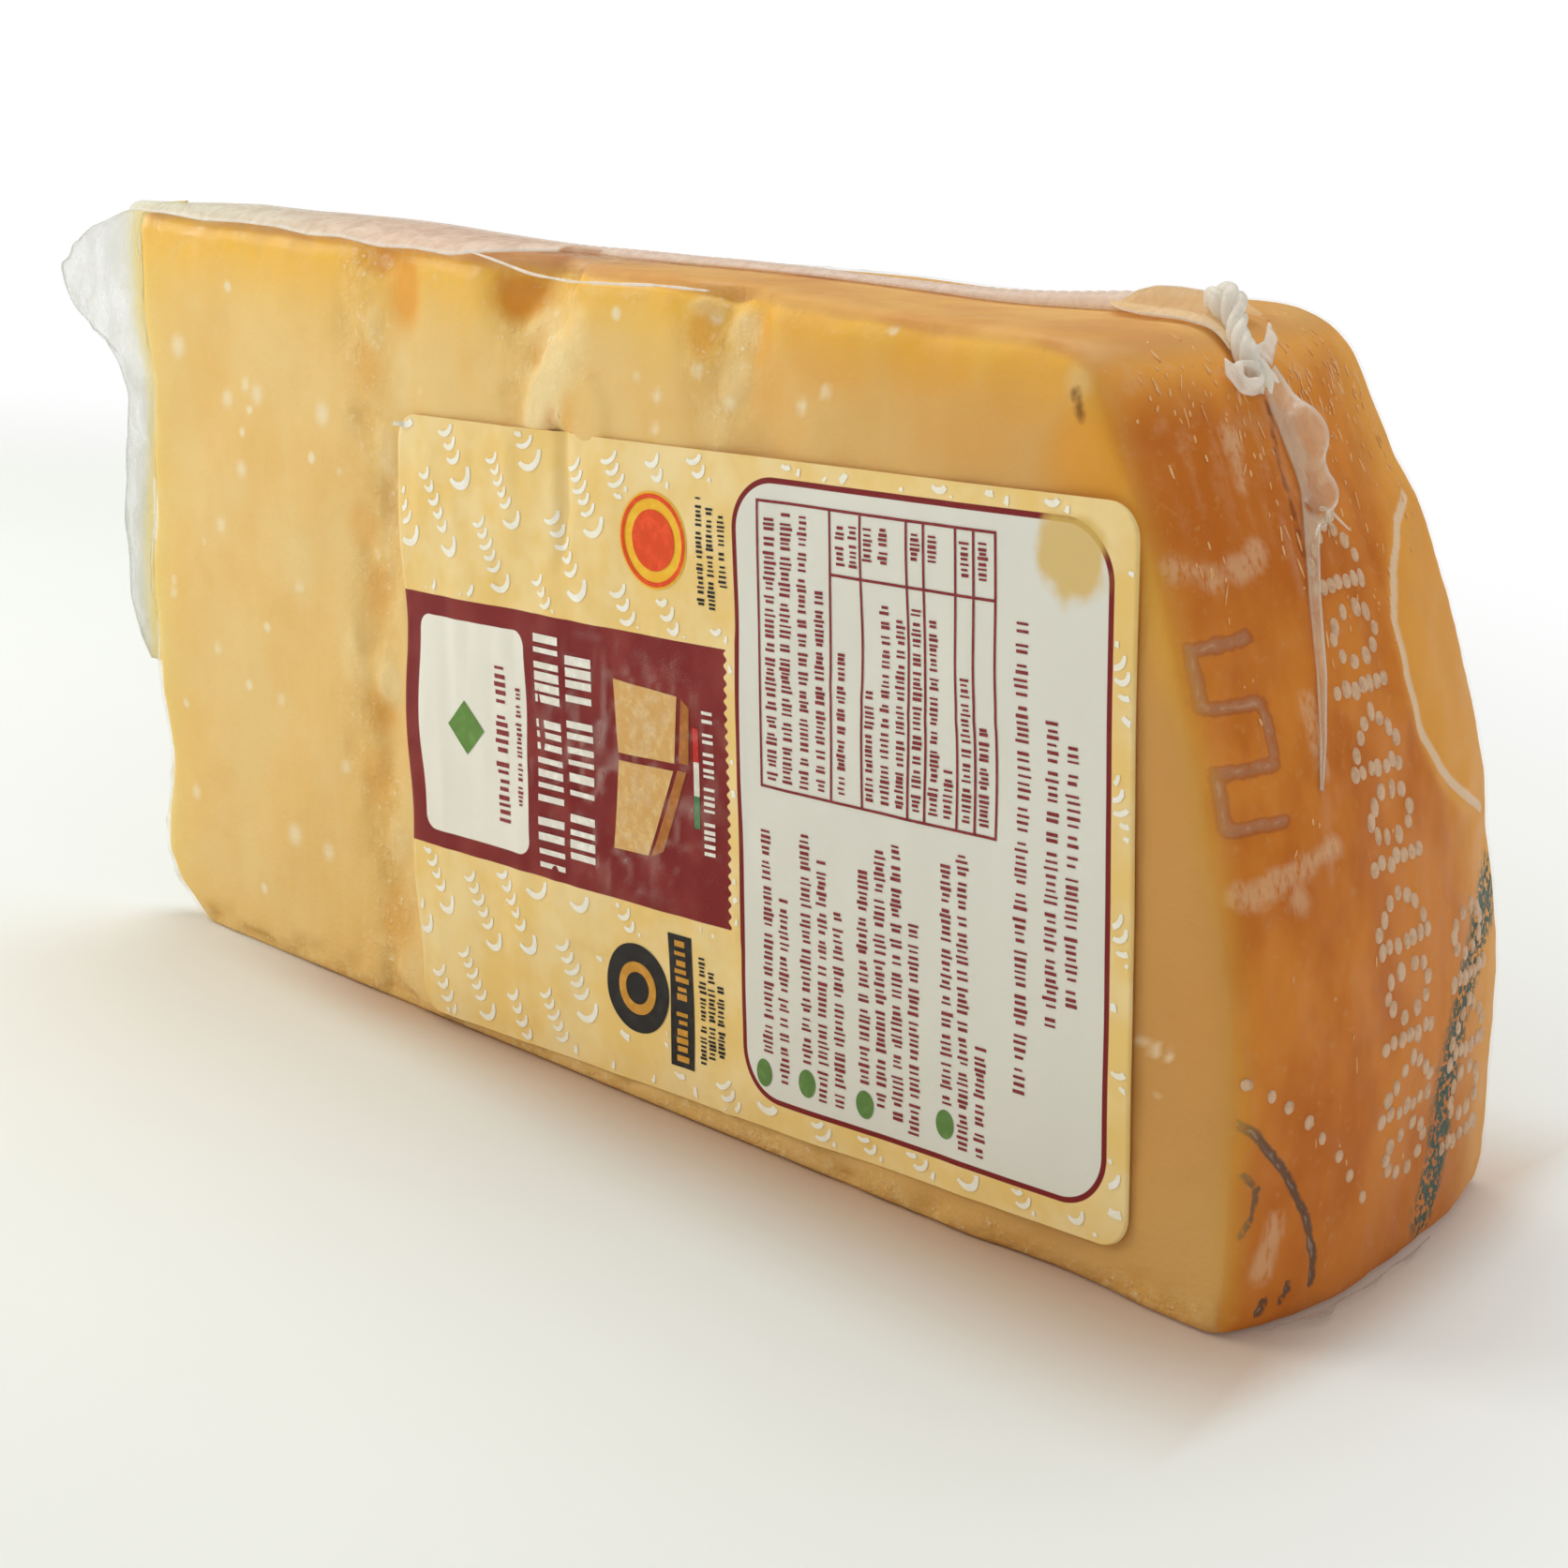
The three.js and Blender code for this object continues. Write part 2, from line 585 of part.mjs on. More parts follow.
function gatherGeometry() {
  const route = new THREE.CatmullRomCurve3([
    onMiddle(173, HEIGHT + 0.8),
    onMiddle(180, HEIGHT + 0.9),
    onMiddle(187, HEIGHT + 0.5),
    onRind(28.5, HEIGHT - 2.2, 2.4),
    onRind(26.5, HEIGHT - 5, 2.7),
    onRind(25, HEIGHT - 8, 3.2),
  ]);
  const { sides, rings, bulb } = ROPE;
  const vertices = [];
  const triangles = [];
  for (let i = 0; i <= rings; i += 1) {
    const u = i / rings;
    const centre = route.getPointAt(u);
    const tangent = route.getTangentAt(u);
    const outward = new THREE.Vector3().crossVectors(tangent, FILM_MIDDLE).normalize();
    const start = ROPE.startShare + (1 - ROPE.startShare) * ease(0, 0.25, u);
    const thickness = start + bulb.extra * ridge(u - bulb.at, bulb.halfLength);
    const closing = 1 - 0.6 * ease(0.93, 1, u);
    const twist = u * ROPE.turns * Math.PI * 2;
    for (let j = 0; j < sides; j += 1) {
      const angle = (j / sides) * Math.PI * 2;
      const fluting = 1 + ROPE.ridgeDepth * Math.cos(ROPE.ridges * angle + twist);
      const radius = ROPE.radius * thickness * closing * fluting;
      const p = centre.clone()
        .addScaledVector(outward, radius * Math.cos(angle))
        .addScaledVector(FILM_MIDDLE, radius * Math.sin(angle));
      vertices.push(p.toArray());
    }
  }
  const first = vertices.push(route.getPointAt(0).toArray()) - 1;
  const last = vertices.push(route.getPointAt(1).toArray()) - 1;
  const at = (i, j) => i * sides + (j % sides);
  for (let i = 0; i < rings; i += 1) {
    for (let j = 0; j < sides; j += 1) {
      triangles.push([at(i, j), at(i + 1, j), at(i + 1, j + 1)]);
      triangles.push([at(i, j), at(i + 1, j + 1), at(i, j + 1)]);
    }
  }
  for (let j = 0; j < sides; j += 1) {
    triangles.push([first, at(0, j), at(0, j + 1)]);
    triangles.push([last, at(rings, j + 1), at(rings, j)]);
  }
  return geometryFrom(vertices, triangles);
}

// ---- the object ---------------------------------------------------------------------------

const finishes = {
  cheese: { color: 0xd9a552, roughness: 0.45, metalness: 0 },
  label_paper: { color: 0xe8c878, roughness: 0.5, metalness: 0 },
  film: { color: 0xe6e6e0, roughness: 0.15, metalness: 0 },
};

function piece(name, finish, geometry) {
  const mesh = new THREE.Mesh(geometry, new THREE.MeshStandardMaterial(finishes[finish]));
  mesh.name = name;
  return mesh;
}

const wedge = new THREE.Group();
wedge.add(
  piece('cheese_in_film', 'cheese', cheeseGeometry()),
  piece('paper_label', 'label_paper', labelGeometry()),
  piece('film_seam_tip', 'film', tipSeamGeometry()),
  piece('film_seam_top', 'film', topSeamGeometry()),
  piece('film_seam_rind', 'film', rindSeamGeometry()),
  piece('film_gather', 'film', gatherGeometry()),
  piece('film_foot_lip', 'film', footLipGeometry()),
);

const extent = new THREE.Box3().setFromObject(wedge);
const middle = extent.getCenter(new THREE.Vector3());
wedge.position.set(-middle.x, -middle.y, -extent.min.z);

const vacuumPack = new THREE.Group();
vacuumPack.add(wedge);

export default vacuumPack;
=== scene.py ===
"""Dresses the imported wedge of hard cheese: cheese, paper label, shrunk film and its welds."""

import contextlib
import functools
import itertools
import math

import bmesh
import bpy
import numpy as np
from mathutils import Matrix, Vector
from mathutils.bvhtree import BVHTree


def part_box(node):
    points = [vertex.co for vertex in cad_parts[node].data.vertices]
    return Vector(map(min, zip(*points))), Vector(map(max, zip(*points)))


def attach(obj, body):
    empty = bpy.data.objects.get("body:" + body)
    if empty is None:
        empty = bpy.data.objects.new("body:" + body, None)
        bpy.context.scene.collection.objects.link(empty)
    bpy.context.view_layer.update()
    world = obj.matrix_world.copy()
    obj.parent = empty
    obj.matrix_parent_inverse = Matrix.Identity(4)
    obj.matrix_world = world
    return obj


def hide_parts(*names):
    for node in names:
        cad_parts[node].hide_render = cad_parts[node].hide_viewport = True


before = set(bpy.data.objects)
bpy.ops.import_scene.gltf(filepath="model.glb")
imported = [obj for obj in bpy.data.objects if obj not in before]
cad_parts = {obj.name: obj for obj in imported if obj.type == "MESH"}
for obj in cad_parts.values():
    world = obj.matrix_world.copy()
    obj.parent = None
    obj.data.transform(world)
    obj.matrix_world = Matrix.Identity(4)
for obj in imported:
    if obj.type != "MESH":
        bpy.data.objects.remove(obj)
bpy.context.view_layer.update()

bl_info = {
    "name": "Vacuum-packed cheese wedge",
    "version": (1, 0, 0),
    "blender": (4, 5, 0),
    "location": "View3D > Sidebar > Cheese",
    "description": "Builds a wedge of hard cheese in shrunk film, with a paper label",
    "category": "Object",
}

BODY = "root"
MM = 0.001

# ---- the wedge's own axes -----------------------------------------------------------------
# Lengths are worked out in millimetres from the wheel's axle: x runs along the near cut face,
# y into the cheese and z up. A place on the rind is given by its distance round the rind from
# the near cut, and its height.

TIP_FROM_AXLE = 3.31             # the thin end's foremost point
TIP_WIDTH = 2.5                  # between the cut faces at the axle
WHEEL_RADIUS = 218.5
BELLY_HEIGHT = 25                # the rind is upright up to here
SHOULDER_DRAW = 26               # how far it leans in at the top
BARREL_POWER = 1.6
SAG = 1.8                        # of the flat side, halfway along
SAG_STARTS, SAG_ENDS = (55, 95), (184, 155)      # along the wedge: none, whole
NOWHERE = 99.0                   # the distance given where there is nothing to be near
WEDGE_ANGLE = math.radians(16)
LOW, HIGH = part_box("cheese_in_film")
AXLE = np.array([LOW.x / MM - TIP_FROM_AXLE, LOW.y / MM, LOW.z / MM])
HEIGHT = (HIGH.z - LOW.z) / MM
FAR_OUT = np.array([-math.sin(WEDGE_ANGLE), math.cos(WEDGE_ANGLE), 0])
MID_ALONG = np.array([math.cos(WEDGE_ANGLE / 2), math.sin(WEDGE_ANGLE / 2), 0])
MID_ACROSS = np.array([-math.sin(WEDGE_ANGLE / 2), math.cos(WEDGE_ANGLE / 2), 0])

LABEL_WIDTH = 129
LABEL_HEIGHT = 85
LABEL_CORNER = 4
LABEL_TILT = math.radians(2.3)
LABEL_CENTRE = (134.6, 46.4)
LABEL_THICKNESS = 0.25


def to_frame(points):
    """Millimetres from the axle to metres in the shared frame."""
    return (np.asarray(points, float) + AXLE) * MM


def from_frame(points):
    """Metres in the shared frame to millimetres from the axle."""
    return np.asarray(points, float) / MM - AXLE


def smooth_step(low, high, value):
    """Rises smoothly from 0 at low to 1 at high; falls if high is the smaller."""
    t = np.clip((value - low) / (high - low), 0, 1)
    return t * t * (3 - 2 * t)


def bump(u, v, middle_u, middle_v, radius_u, radius_v):
    """1 at the middle of an oval, falling smoothly to 0 at its rim."""
    r2 = ((u - middle_u) / radius_u) ** 2 + ((v - middle_v) / radius_v) ** 2
    return np.clip(1 - r2, 0, 1) ** 2


def lattice(cell, seed):
    """A fixed number from -1 to 1 for each whole-numbered cell."""
    h = cell[:, 0] * 374761393 + cell[:, 1] * 668265263 + cell[:, 2] * 1442695041
    h = (h + seed * 974634777) & 0xFFFFFFFF
    h = ((h ^ (h >> 13)) * 1274126177) & 0xFFFFFFFF
    return ((h ^ (h >> 16)) & 0xFFFF) / 0x7FFF - 1


def lumps(points, size, seed):
    """Smooth noise from -1 to 1, with lumps about this many millimetres across."""
    q = points / np.asarray(size, float)
    cell = np.floor(q).astype(np.int64)
    t = q - cell
    t = t * t * (3 - 2 * t)
    total = np.zeros(len(points))
    for corner in itertools.product((0, 1), repeat=3):
        weight = np.prod(np.where(corner, t, 1 - t), axis=1)
        total += weight * lattice(cell + np.array(corner), seed)
    return total


def rind_radius(z):
    """The wheel's radius at a height: upright at the belly, then leaning in."""
    above = np.clip(z - BELLY_HEIGHT, 0, None) / (HEIGHT - BELLY_HEIGHT)
    return WHEEL_RADIUS - SHOULDER_DRAW * above ** BARREL_POWER


def sag(along, across):
    """How far the flat side has sunk; across runs from 0 at the near cut to 1 at the far one."""
    lengthwise = smooth_step(*SAG_STARTS, along) * smooth_step(*SAG_ENDS, along)
    return SAG * lengthwise * (0.3 + 0.7 * across)


def line_distance(points, path):
    """Distance of each flat point from a line through the path's points."""
    nearest = np.full(len(points), 1e9)
    for a, b in zip(path[:-1], path[1:]):
        a, b = np.array(a, float), np.array(b, float)
        along = np.clip((points - a) @ (b - a) / ((b - a) @ (b - a)), 0, 1)
        gap = np.linalg.norm(points - a - along[:, None] * (b - a), axis=1)
        nearest = np.minimum(nearest, gap)
    return nearest


# ---- sizes and colours that a user would change -------------------------------------------

def length(name, description, default):
    return bpy.props.FloatProperty(
        name=name, description=description, default=default, unit="LENGTH", precision=5)


def share(name, description, default):
    return bpy.props.FloatProperty(
        name=name, description=description, default=default, min=0, max=1, subtype="FACTOR")


def colour(name, description, default):
    return bpy.props.FloatVectorProperty(
        name=name, description=description, default=default, size=3, min=0, max=1,
        subtype="COLOR")


class CheeseSettings(bpy.types.PropertyGroup):
    """Mesh fineness, relief and colours of the cheese"""

    voxel: length("Mesh step", "Size of the cheese's mesh faces", 0.00087)
    crumb_depth: length("Crumb depth", "How deep the broken places crumble", 0.0008)
    stamp_depth: length("Stamp depth", "How deep the marks are pressed into the rind", 0.0004)
    band_width: length("Band width", "How far the darker edge reaches into the cut", 0.0075)
    straw: colour("Straw", "The cut face", (0.86, 0.50, 0.135))
    pale: colour("Pale", "The driest parts of the cut face", (0.87, 0.62, 0.25))
    band: colour("Band", "The cut face beside the flat side", (0.95, 0.535, 0.055))
    rind: colour("Rind", "The rind's main colour", (0.73, 0.255, 0.038))
    rind_dark: colour("Dark rind", "The rind's darkest stretches", (0.56, 0.155, 0.019))
    rind_light: colour("Light rind", "The rind by the flat side and on the raised plate",
                       (0.90, 0.45, 0.09))
    stamp: colour("Stamp", "The pressed lines", (0.50, 0.24, 0.13))


class LabelSettings(bpy.types.PropertyGroup):
    """Relief and inks of the paper label"""

    waviness: length("Waviness", "How far the paper waves", 0.00038)
    ink_lift: length("Ink lift", "How far printed marks stand off the paper", 0.00007)
    paper: colour("Yellow field", "The paper's yellow print", (0.92, 0.645, 0.22))
    panel_red: colour("Red panel", "The dark red print", (0.22, 0.018, 0.018))
    panel_white: colour("White panel", "The unprinted paper", (0.80, 0.795, 0.715))


class FilmSettings(bpy.types.PropertyGroup):
    """Thickness and haze of the shrunk film"""

    gap: length("Gap", "Film to cheese", 0.0003)
    thickness: length("Thickness", "The loose film, doubled where it is welded", 0.0002)
    haze: share("Haze", "Milkiness of the tight film where it is loose", 0.08)
    milk: share("Milk", "Milkiness of the loose film", 0.3)


class StageSettings(bpy.types.PropertyGroup):
    """Camera, light and floor"""

    lens: bpy.props.FloatProperty(
        name="Lens", description="Focal length", default=66.49, unit="CAMERA")
    sky_low: share("Horizon", "Light from the surroundings, level with the table", 0.17)
    sky_high: share("Zenith", "Light from the surroundings, overhead", 0.62)
    key: bpy.props.FloatProperty(
        name="Overhead lamp", description="Its power", default=7, unit="POWER")
    fill: bpy.props.FloatProperty(
        name="Tip lamp", description="Its power", default=3.2, unit="POWER")
    rind_fill: bpy.props.FloatProperty(
        name="Rind lamp", description="Its power", default=0.9, unit="POWER")
    warmth: colour("Warmth", "Colour of the surroundings' light", (1.0, 0.92, 0.81))
    floor: colour("Floor", "The pale floor", (0.82, 0.84, 0.81))


# ---- mesh helpers -------------------------------------------------------------------------

MERGE_DISTANCE = 0.00001         # metres, between the corners of the CAD's loose triangles


def read_all(items, key, width, kind=np.float32):
    """One property of all items, as rows of this width."""
    flat = np.zeros(len(items) * width, kind)
    items.foreach_get(key, flat)
    return flat.reshape(-1, width)


def read_points(mesh):
    return from_frame(read_all(mesh.vertices, "co", 3))


def write_points(mesh, points):
    mesh.vertices.foreach_set("co", to_frame(points).astype(np.float32).ravel())
    mesh.update()


def read_normals(mesh):
    return read_all(mesh.vertex_normals, "vector", 3).astype(float)


def store(mesh, name, values):
    """Keeps a number for each point, for the materials to read."""
    mesh.attributes.new(name, "FLOAT", "POINT").data.foreach_set(
        "value", np.asarray(values, np.float32))


def new_mesh(name, points, faces):
    mesh = bpy.data.meshes.new(name)
    mesh.from_pydata(to_frame(points), [], faces)
    mesh.validate()
    mesh.update()
    return mesh


def placed(name, data):
    """An object in the scene that holds this mesh, lamp or camera."""
    made = bpy.data.objects.new(name, data)
    bpy.context.scene.collection.objects.link(made)
    return made


def show(name, mesh, material, replaced=()):
    """Puts a finished mesh in the scene as a piece of the object."""
    piece = placed(name, mesh)
    mesh.materials.clear()
    mesh.materials.append(material)
    mesh.shade_smooth()
    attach(piece, BODY)
    for node in replaced:
        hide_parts(node)
    return piece


def grid_faces(rows, columns, flip=False):
    """Faces of a grid of points, listed row by row."""
    index = np.arange(rows * columns).reshape(rows, columns)
    faces = np.stack([index[:-1, :-1], index[:-1, 1:], index[1:, 1:], index[1:, :-1]], -1)
    faces = faces.reshape(-1, 4)
    return faces[:, ::-1] if flip else faces


def tube_faces(rings, sides):
    """Faces between rings of points, listed ring by ring."""
    index = np.arange(rings * sides).reshape(rings, sides)
    after = np.roll(index, -1, axis=1)
    return np.stack([index[:-1], index[1:], after[1:], after[:-1]], -1).reshape(-1, 4)


def closed_sheet(front, back):
    """Points and faces of a closed sheet between two grids of points."""
    rows, columns = front.shape[:2]
    count = rows * columns
    index = np.arange(count).reshape(rows, columns)
    rim = np.concatenate([index[0, :-1], index[:-1, -1], index[-1, :0:-1], index[:0:-1, 0]])
    after = np.roll(rim, -1)
    walls = np.stack([rim, rim + count, after + count, after], -1)
    faces = np.concatenate([grid_faces(rows, columns), grid_faces(rows, columns, True) + count,
                            walls])
    return np.concatenate([front.reshape(-1, 3), back.reshape(-1, 3)]), faces


@contextlib.contextmanager
def opened(mesh):
    """The mesh in editable form, written back at the end."""
    work = bmesh.new()
    work.from_mesh(mesh)
    yield work
    work.to_mesh(mesh)
    work.free()


def face_outwards(mesh):
    with opened(mesh) as work:
        bmesh.ops.recalc_face_normals(work, faces=work.faces)


def evaluated_mesh(holder):
    """What an object's modifiers make of its mesh, as a plain mesh. The object goes."""
    bpy.context.view_layer.update()
    evaluated = holder.evaluated_get(bpy.context.evaluated_depsgraph_get())
    mesh = bpy.data.meshes.new_from_object(evaluated)
    holder.modifiers.clear()
    bpy.data.objects.remove(holder)
    return mesh


def finished(mesh, *modifiers):
    """The mesh after these modifiers, each given as (kind, settings)."""
    holder = placed("holder", mesh)
    for kind, settings in modifiers:
        modifier = holder.modifiers.new(kind.lower(), kind)
        for key, value in settings.items():
            setattr(modifier, key, value)
    return evaluated_mesh(holder)


def merged_copy(node):
    """A CAD node's mesh with its loose triangles joined."""
    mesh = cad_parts[node].data.copy()
    with opened(mesh) as work:
        bmesh.ops.remove_doubles(work, verts=work.verts, dist=MERGE_DISTANCE)
    return mesh


def surface_tree(mesh):
    """For finding places on a mesh."""
    work = bmesh.new()
    work.from_mesh(mesh)
    tree = BVHTree.FromBMesh(work)
    work.free()
    return tree


def averaged(values, pairs, counts):
    """Each vertex's mean over its neighbours."""
    total = np.bincount(pairs[:, 0], values[pairs[:, 1]], len(values))
    total += np.bincount(pairs[:, 1], values[pairs[:, 0]], len(values))
    return total / counts


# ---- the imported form, shared by cheese and film -------------------------------------------

class PackedForm:
    """A fine, even mesh of the CAD wedge, and where its points lie."""

    SMOOTHING = {"factor": 0.5, "iterations": 14}
    CAST_FROM = 30               # how far off the rind its places are looked for

    def __init__(self, voxel):
        mesh = merged_copy("cheese_in_film")
        remesh = ("REMESH", {"mode": "VOXEL", "voxel_size": voxel, "use_smooth_shade": True})
        self.mesh = finished(mesh, remesh, ("SMOOTH", self.SMOOTHING))
        points = read_points(self.mesh)
        across = np.clip(np.arctan2(points[:, 1], points[:, 0]) / WEDGE_ANGLE, 0, 1)
        upper = smooth_step(HEIGHT - 22, HEIGHT - 1, points[:, 2])
        points[:, 2] -= sag(np.hypot(points[:, 0], points[:, 1]), across) * upper
        write_points(self.mesh, points)
        self.points = points
        self.normals = read_normals(self.mesh)
        x, y, self.z = self.points.T
        self.x = x               # along the near cut face
        self.radius = np.hypot(x, y)
        turn = np.arctan2(y, x)
        self.round = turn * WHEEL_RADIUS         # the place round the rind
        outward = self.normals[:, 0] * np.cos(turn) + self.normals[:, 1] * np.sin(turn)
        # how far each point belongs to each of the wedge's faces, from 0 to 1
        self.near = smooth_step(0.35, 0.75, -self.normals[:, 1])
        self.far = smooth_step(0.35, 0.75, self.normals @ FAR_OUT)
        self.rind = smooth_step(0.3, 0.7, outward) * smooth_step(60, 90, x)
        self.flat_side = smooth_step(0.5, 0.85, self.normals[:, 2])
        self.tree = surface_tree(self.mesh)

    def rind_point(self, along, z):
        """The rind's surface and its outward normal at a place on it."""
        turn = along / WHEEL_RADIUS
        outward = Vector((math.cos(turn), math.sin(turn), 0))
        start = to_frame(np.array(outward) * (WHEEL_RADIUS + self.CAST_FROM) + (0, 0, z))
        hit, normal, _, _ = self.tree.ray_cast(Vector(start), -outward)
        return from_frame(hit), normal


@functools.cache
def packed_form():
    """The form that all pieces share, made when the first of them needs it."""
    return PackedForm(bpy.context.scene.cheese.voxel)


# ---- the label's surface ------------------------------------------------------------------

# on the label, in its own millimetres from its lower left corner
LABEL_DENT = (35, 84, 9, 18)     # where it sinks into the broken place: middle, half size
SUNK_CREASE = ((34.5, 86), (35.5, 76), (34, 66))
CREASES = (                      # its line, then how far it stands out
    (((28, 61), (29.5, 44), (27.5, 26)), 0.22),
    (((33.5, 60), (34.8, 45), (34.4, 30)), 0.16),
    (((41, 62), (42.5, 50), (41.5, 33)), 0.14),
    (((64, 0), (63.4, 3.6)), 0.3),
    (((66.5, 62), (67.5, 50), (66.2, 24)), 0.18),
    (((12, 26), (26, 18), (40, 17)), 0.14),
    (((8, 72), (22, 66), (38, 64)), 0.14),
    (((74, 60), (98, 57), (120, 60)), 0.08),
)


class LabelSurface:
    """Height of the paper's front over the label's own millimetres, with its creases."""

    STEP = 0.5
    INSET = 1.6                  # from the rim to the outermost places measured
    MEASURED = (60, 40)          # places across and up
    CAST_FROM = 20               # how far in front of the paper they are looked for

    def __init__(self, waviness):
        self.columns = int(LABEL_WIDTH / self.STEP) + 1
        self.rows = int(LABEL_HEIGHT / self.STEP) + 1
        u = np.linspace(0, LABEL_WIDTH, self.columns)
        v = np.linspace(0, LABEL_HEIGHT, self.rows)
        self.u, self.v = np.meshgrid(u, v)
        resting = self.blurred(self.measured())
        from_rim = np.minimum(np.minimum(self.u, LABEL_WIDTH - self.u),
                              np.minimum(self.v, LABEL_HEIGHT - self.v))
        pressed = resting + 0.3 + 0.22 * smooth_step(5, 0, from_rim)
        limit = resting + 0.62 + 0.7 * bump(self.u, self.v, *LABEL_DENT)
        self.depth = np.minimum(pressed + self.wrinkles(waviness), limit)

    def place(self, u, v):
        """x and z of a point of the label."""
        x, z = u - LABEL_WIDTH / 2, v - LABEL_HEIGHT / 2
        cos, sin = math.cos(LABEL_TILT), math.sin(LABEL_TILT)
        return LABEL_CENTRE[0] + x * cos - z * sin, LABEL_CENTRE[1] + x * sin + z * cos

    def unplace(self, x, z):
        """u and v of a point on the cut face."""
        cos, sin = math.cos(LABEL_TILT), math.sin(LABEL_TILT)
        dx, dz = x - LABEL_CENTRE[0], z - LABEL_CENTRE[1]
        return dx * cos + dz * sin + LABEL_WIDTH / 2, dz * cos - dx * sin + LABEL_HEIGHT / 2

    def measured(self):
        """y of the CAD label's front, every few millimetres, filled in between."""
        tree = surface_tree(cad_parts["paper_label"].data)
        across, up = self.MEASURED
        coarse_u = np.linspace(self.INSET, LABEL_WIDTH - self.INSET, across)
        coarse_v = np.linspace(self.INSET, LABEL_HEIGHT - self.INSET, up)
        depth = np.zeros((len(coarse_v), len(coarse_u)))
        for i, v in enumerate(coarse_v):
            for j, u in enumerate(coarse_u):
                x, z = self.place(u, v)
                start = Vector(to_frame((x, -self.CAST_FROM, z)))
                depth[i, j] = from_frame(tree.ray_cast(start, Vector((0, 1, 0)))[0])[1]
        rows = np.array([np.interp(self.u[0], coarse_u, row) for row in depth])
        return np.array([np.interp(self.v[:, 0], coarse_v, column) for column in rows.T]).T

    @staticmethod
    def blurred(depth, times=40):
        for _ in range(times):
            wide = np.pad(depth, 1, mode="edge")
            depth = (wide[:-2, 1:-1] + wide[2:, 1:-1] + wide[1:-1, :-2] + wide[1:-1, 2:]) / 4
        return depth

    def wrinkles(self, waviness):
        """Creases and waves, negative towards the outside."""
        flat = np.stack([self.u.ravel(), self.v.ravel(), np.zeros(self.u.size)], -1)
        u, v = flat[:, 0], flat[:, 1]
        amount = waviness / MM
        waves = amount * (0.7 * lumps(flat, 13, 3) + 0.3 * lumps(flat, (4, 9, 9), 4))
        waves *= 1 - 0.7 * smooth_step(LABEL_WIDTH - 14, LABEL_WIDTH, u)
        # the paper is loosest over the broken column and under the bite in the top edge
        loose = np.exp(-((u - 22) / 22) ** 2)
        waves += 0.5 * amount * loose * lumps(flat, (2.4, 8, 8), 5)
        crease = line_distance(flat[:, :2], SUNK_CREASE)
        waves += 0.9 * np.exp(-(crease / 1.1) ** 2) * smooth_step(62, 76, v)
        for path, height in CREASES:
            gap = line_distance(flat[:, :2], path)
            waves -= height * np.exp(-(gap / 0.9) ** 2)
        return waves.reshape(self.u.shape)

    def front(self, u, v, lift=0.0):
        """Points of the paper's front, raised by a lift."""
        u, v = np.asarray(u, float), np.asarray(v, float)
        i = np.clip(v / self.STEP, 0, self.rows - 1.001)
        j = np.clip(u / self.STEP, 0, self.columns - 1.001)
        i0, j0 = i.astype(int), j.astype(int)
        a, b = i - i0, j - j0
        d = self.depth
        y = ((1 - a) * ((1 - b) * d[i0, j0] + b * d[i0, j0 + 1])
             + a * ((1 - b) * d[i0 + 1, j0] + b * d[i0 + 1, j0 + 1]))
        x, z = self.place(u, v)
        return np.stack([x, y - lift, z], -1)


@functools.cache
def label_surface():
    """The surface that the paper and its print share."""
    return LabelSurface(bpy.context.scene.label.waviness)


# ---- node trees in few words --------------------------------------------------------------

class Signal:
    """One output of a node; what is worked out from it is a node too."""

    def __init__(self, nodes, socket):
        self.nodes = nodes
        self.socket = socket

    def __getitem__(self, key):
        """Another output of the same node."""
        return Signal(self.nodes, self.socket.node.outputs[key])

    def __add__(self, other):
        return self.nodes.math("ADD", self, other)

    def __sub__(self, other):
        return self.nodes.math("SUBTRACT", self, other)

    def __mul__(self, other):
        return self.nodes.math("MULTIPLY", self, other)

    def __truediv__(self, other):
        return self.nodes.math("DIVIDE", self, other)

    def __pow__(self, other):
        return self.nodes.math("POWER", self, other)

    def __abs__(self):
        return self.nodes.math("ABSOLUTE", self)


class Nodes:
    """A node tree that is filled from the start."""

    def __init__(self, tree):
        tree.nodes.clear()
        self.tree = tree

    def node(self, kind, sockets=(), output=0, **settings):
        """Adds a node, fills in its sockets and gives one of its outputs, if it has any."""
        made = self.tree.nodes.new(kind)
        for key, value in settings.items():
            setattr(made, key, value)
        for key, value in dict(sockets).items():
            socket = made.inputs[key]
            if isinstance(value, Signal):
                self.tree.links.new(value.socket, socket)
            elif hasattr(value, "__len__") and not isinstance(value, str):
                missing = len(socket.default_value) - len(value)
                socket.default_value = tuple(value) + (1.0,) * missing
            else:
                socket.default_value = value
        return Signal(self, made.outputs[output]) if len(made.outputs) else None

    def math(self, operation, a, b=0.0, c=None, clamp=False):
        sockets = {0: a, 1: b} if c is None else {0: a, 1: b, 2: c}
        return self.node("ShaderNodeMath", sockets, operation=operation, use_clamp=clamp)

    def vector(self, operation, a, b, output="Vector"):
        return self.node("ShaderNodeVectorMath", {0: a, 1: b}, output, operation=operation)

    def axes(self, vector):
        """The x of a vector; its y and z are the same node's next outputs."""
        return self.node("ShaderNodeSeparateXYZ", {"Vector": vector})

    def mixed_shader(self, amount, first, second):
        return self.node("ShaderNodeMixShader", {0: amount, 1: first, 2: second})


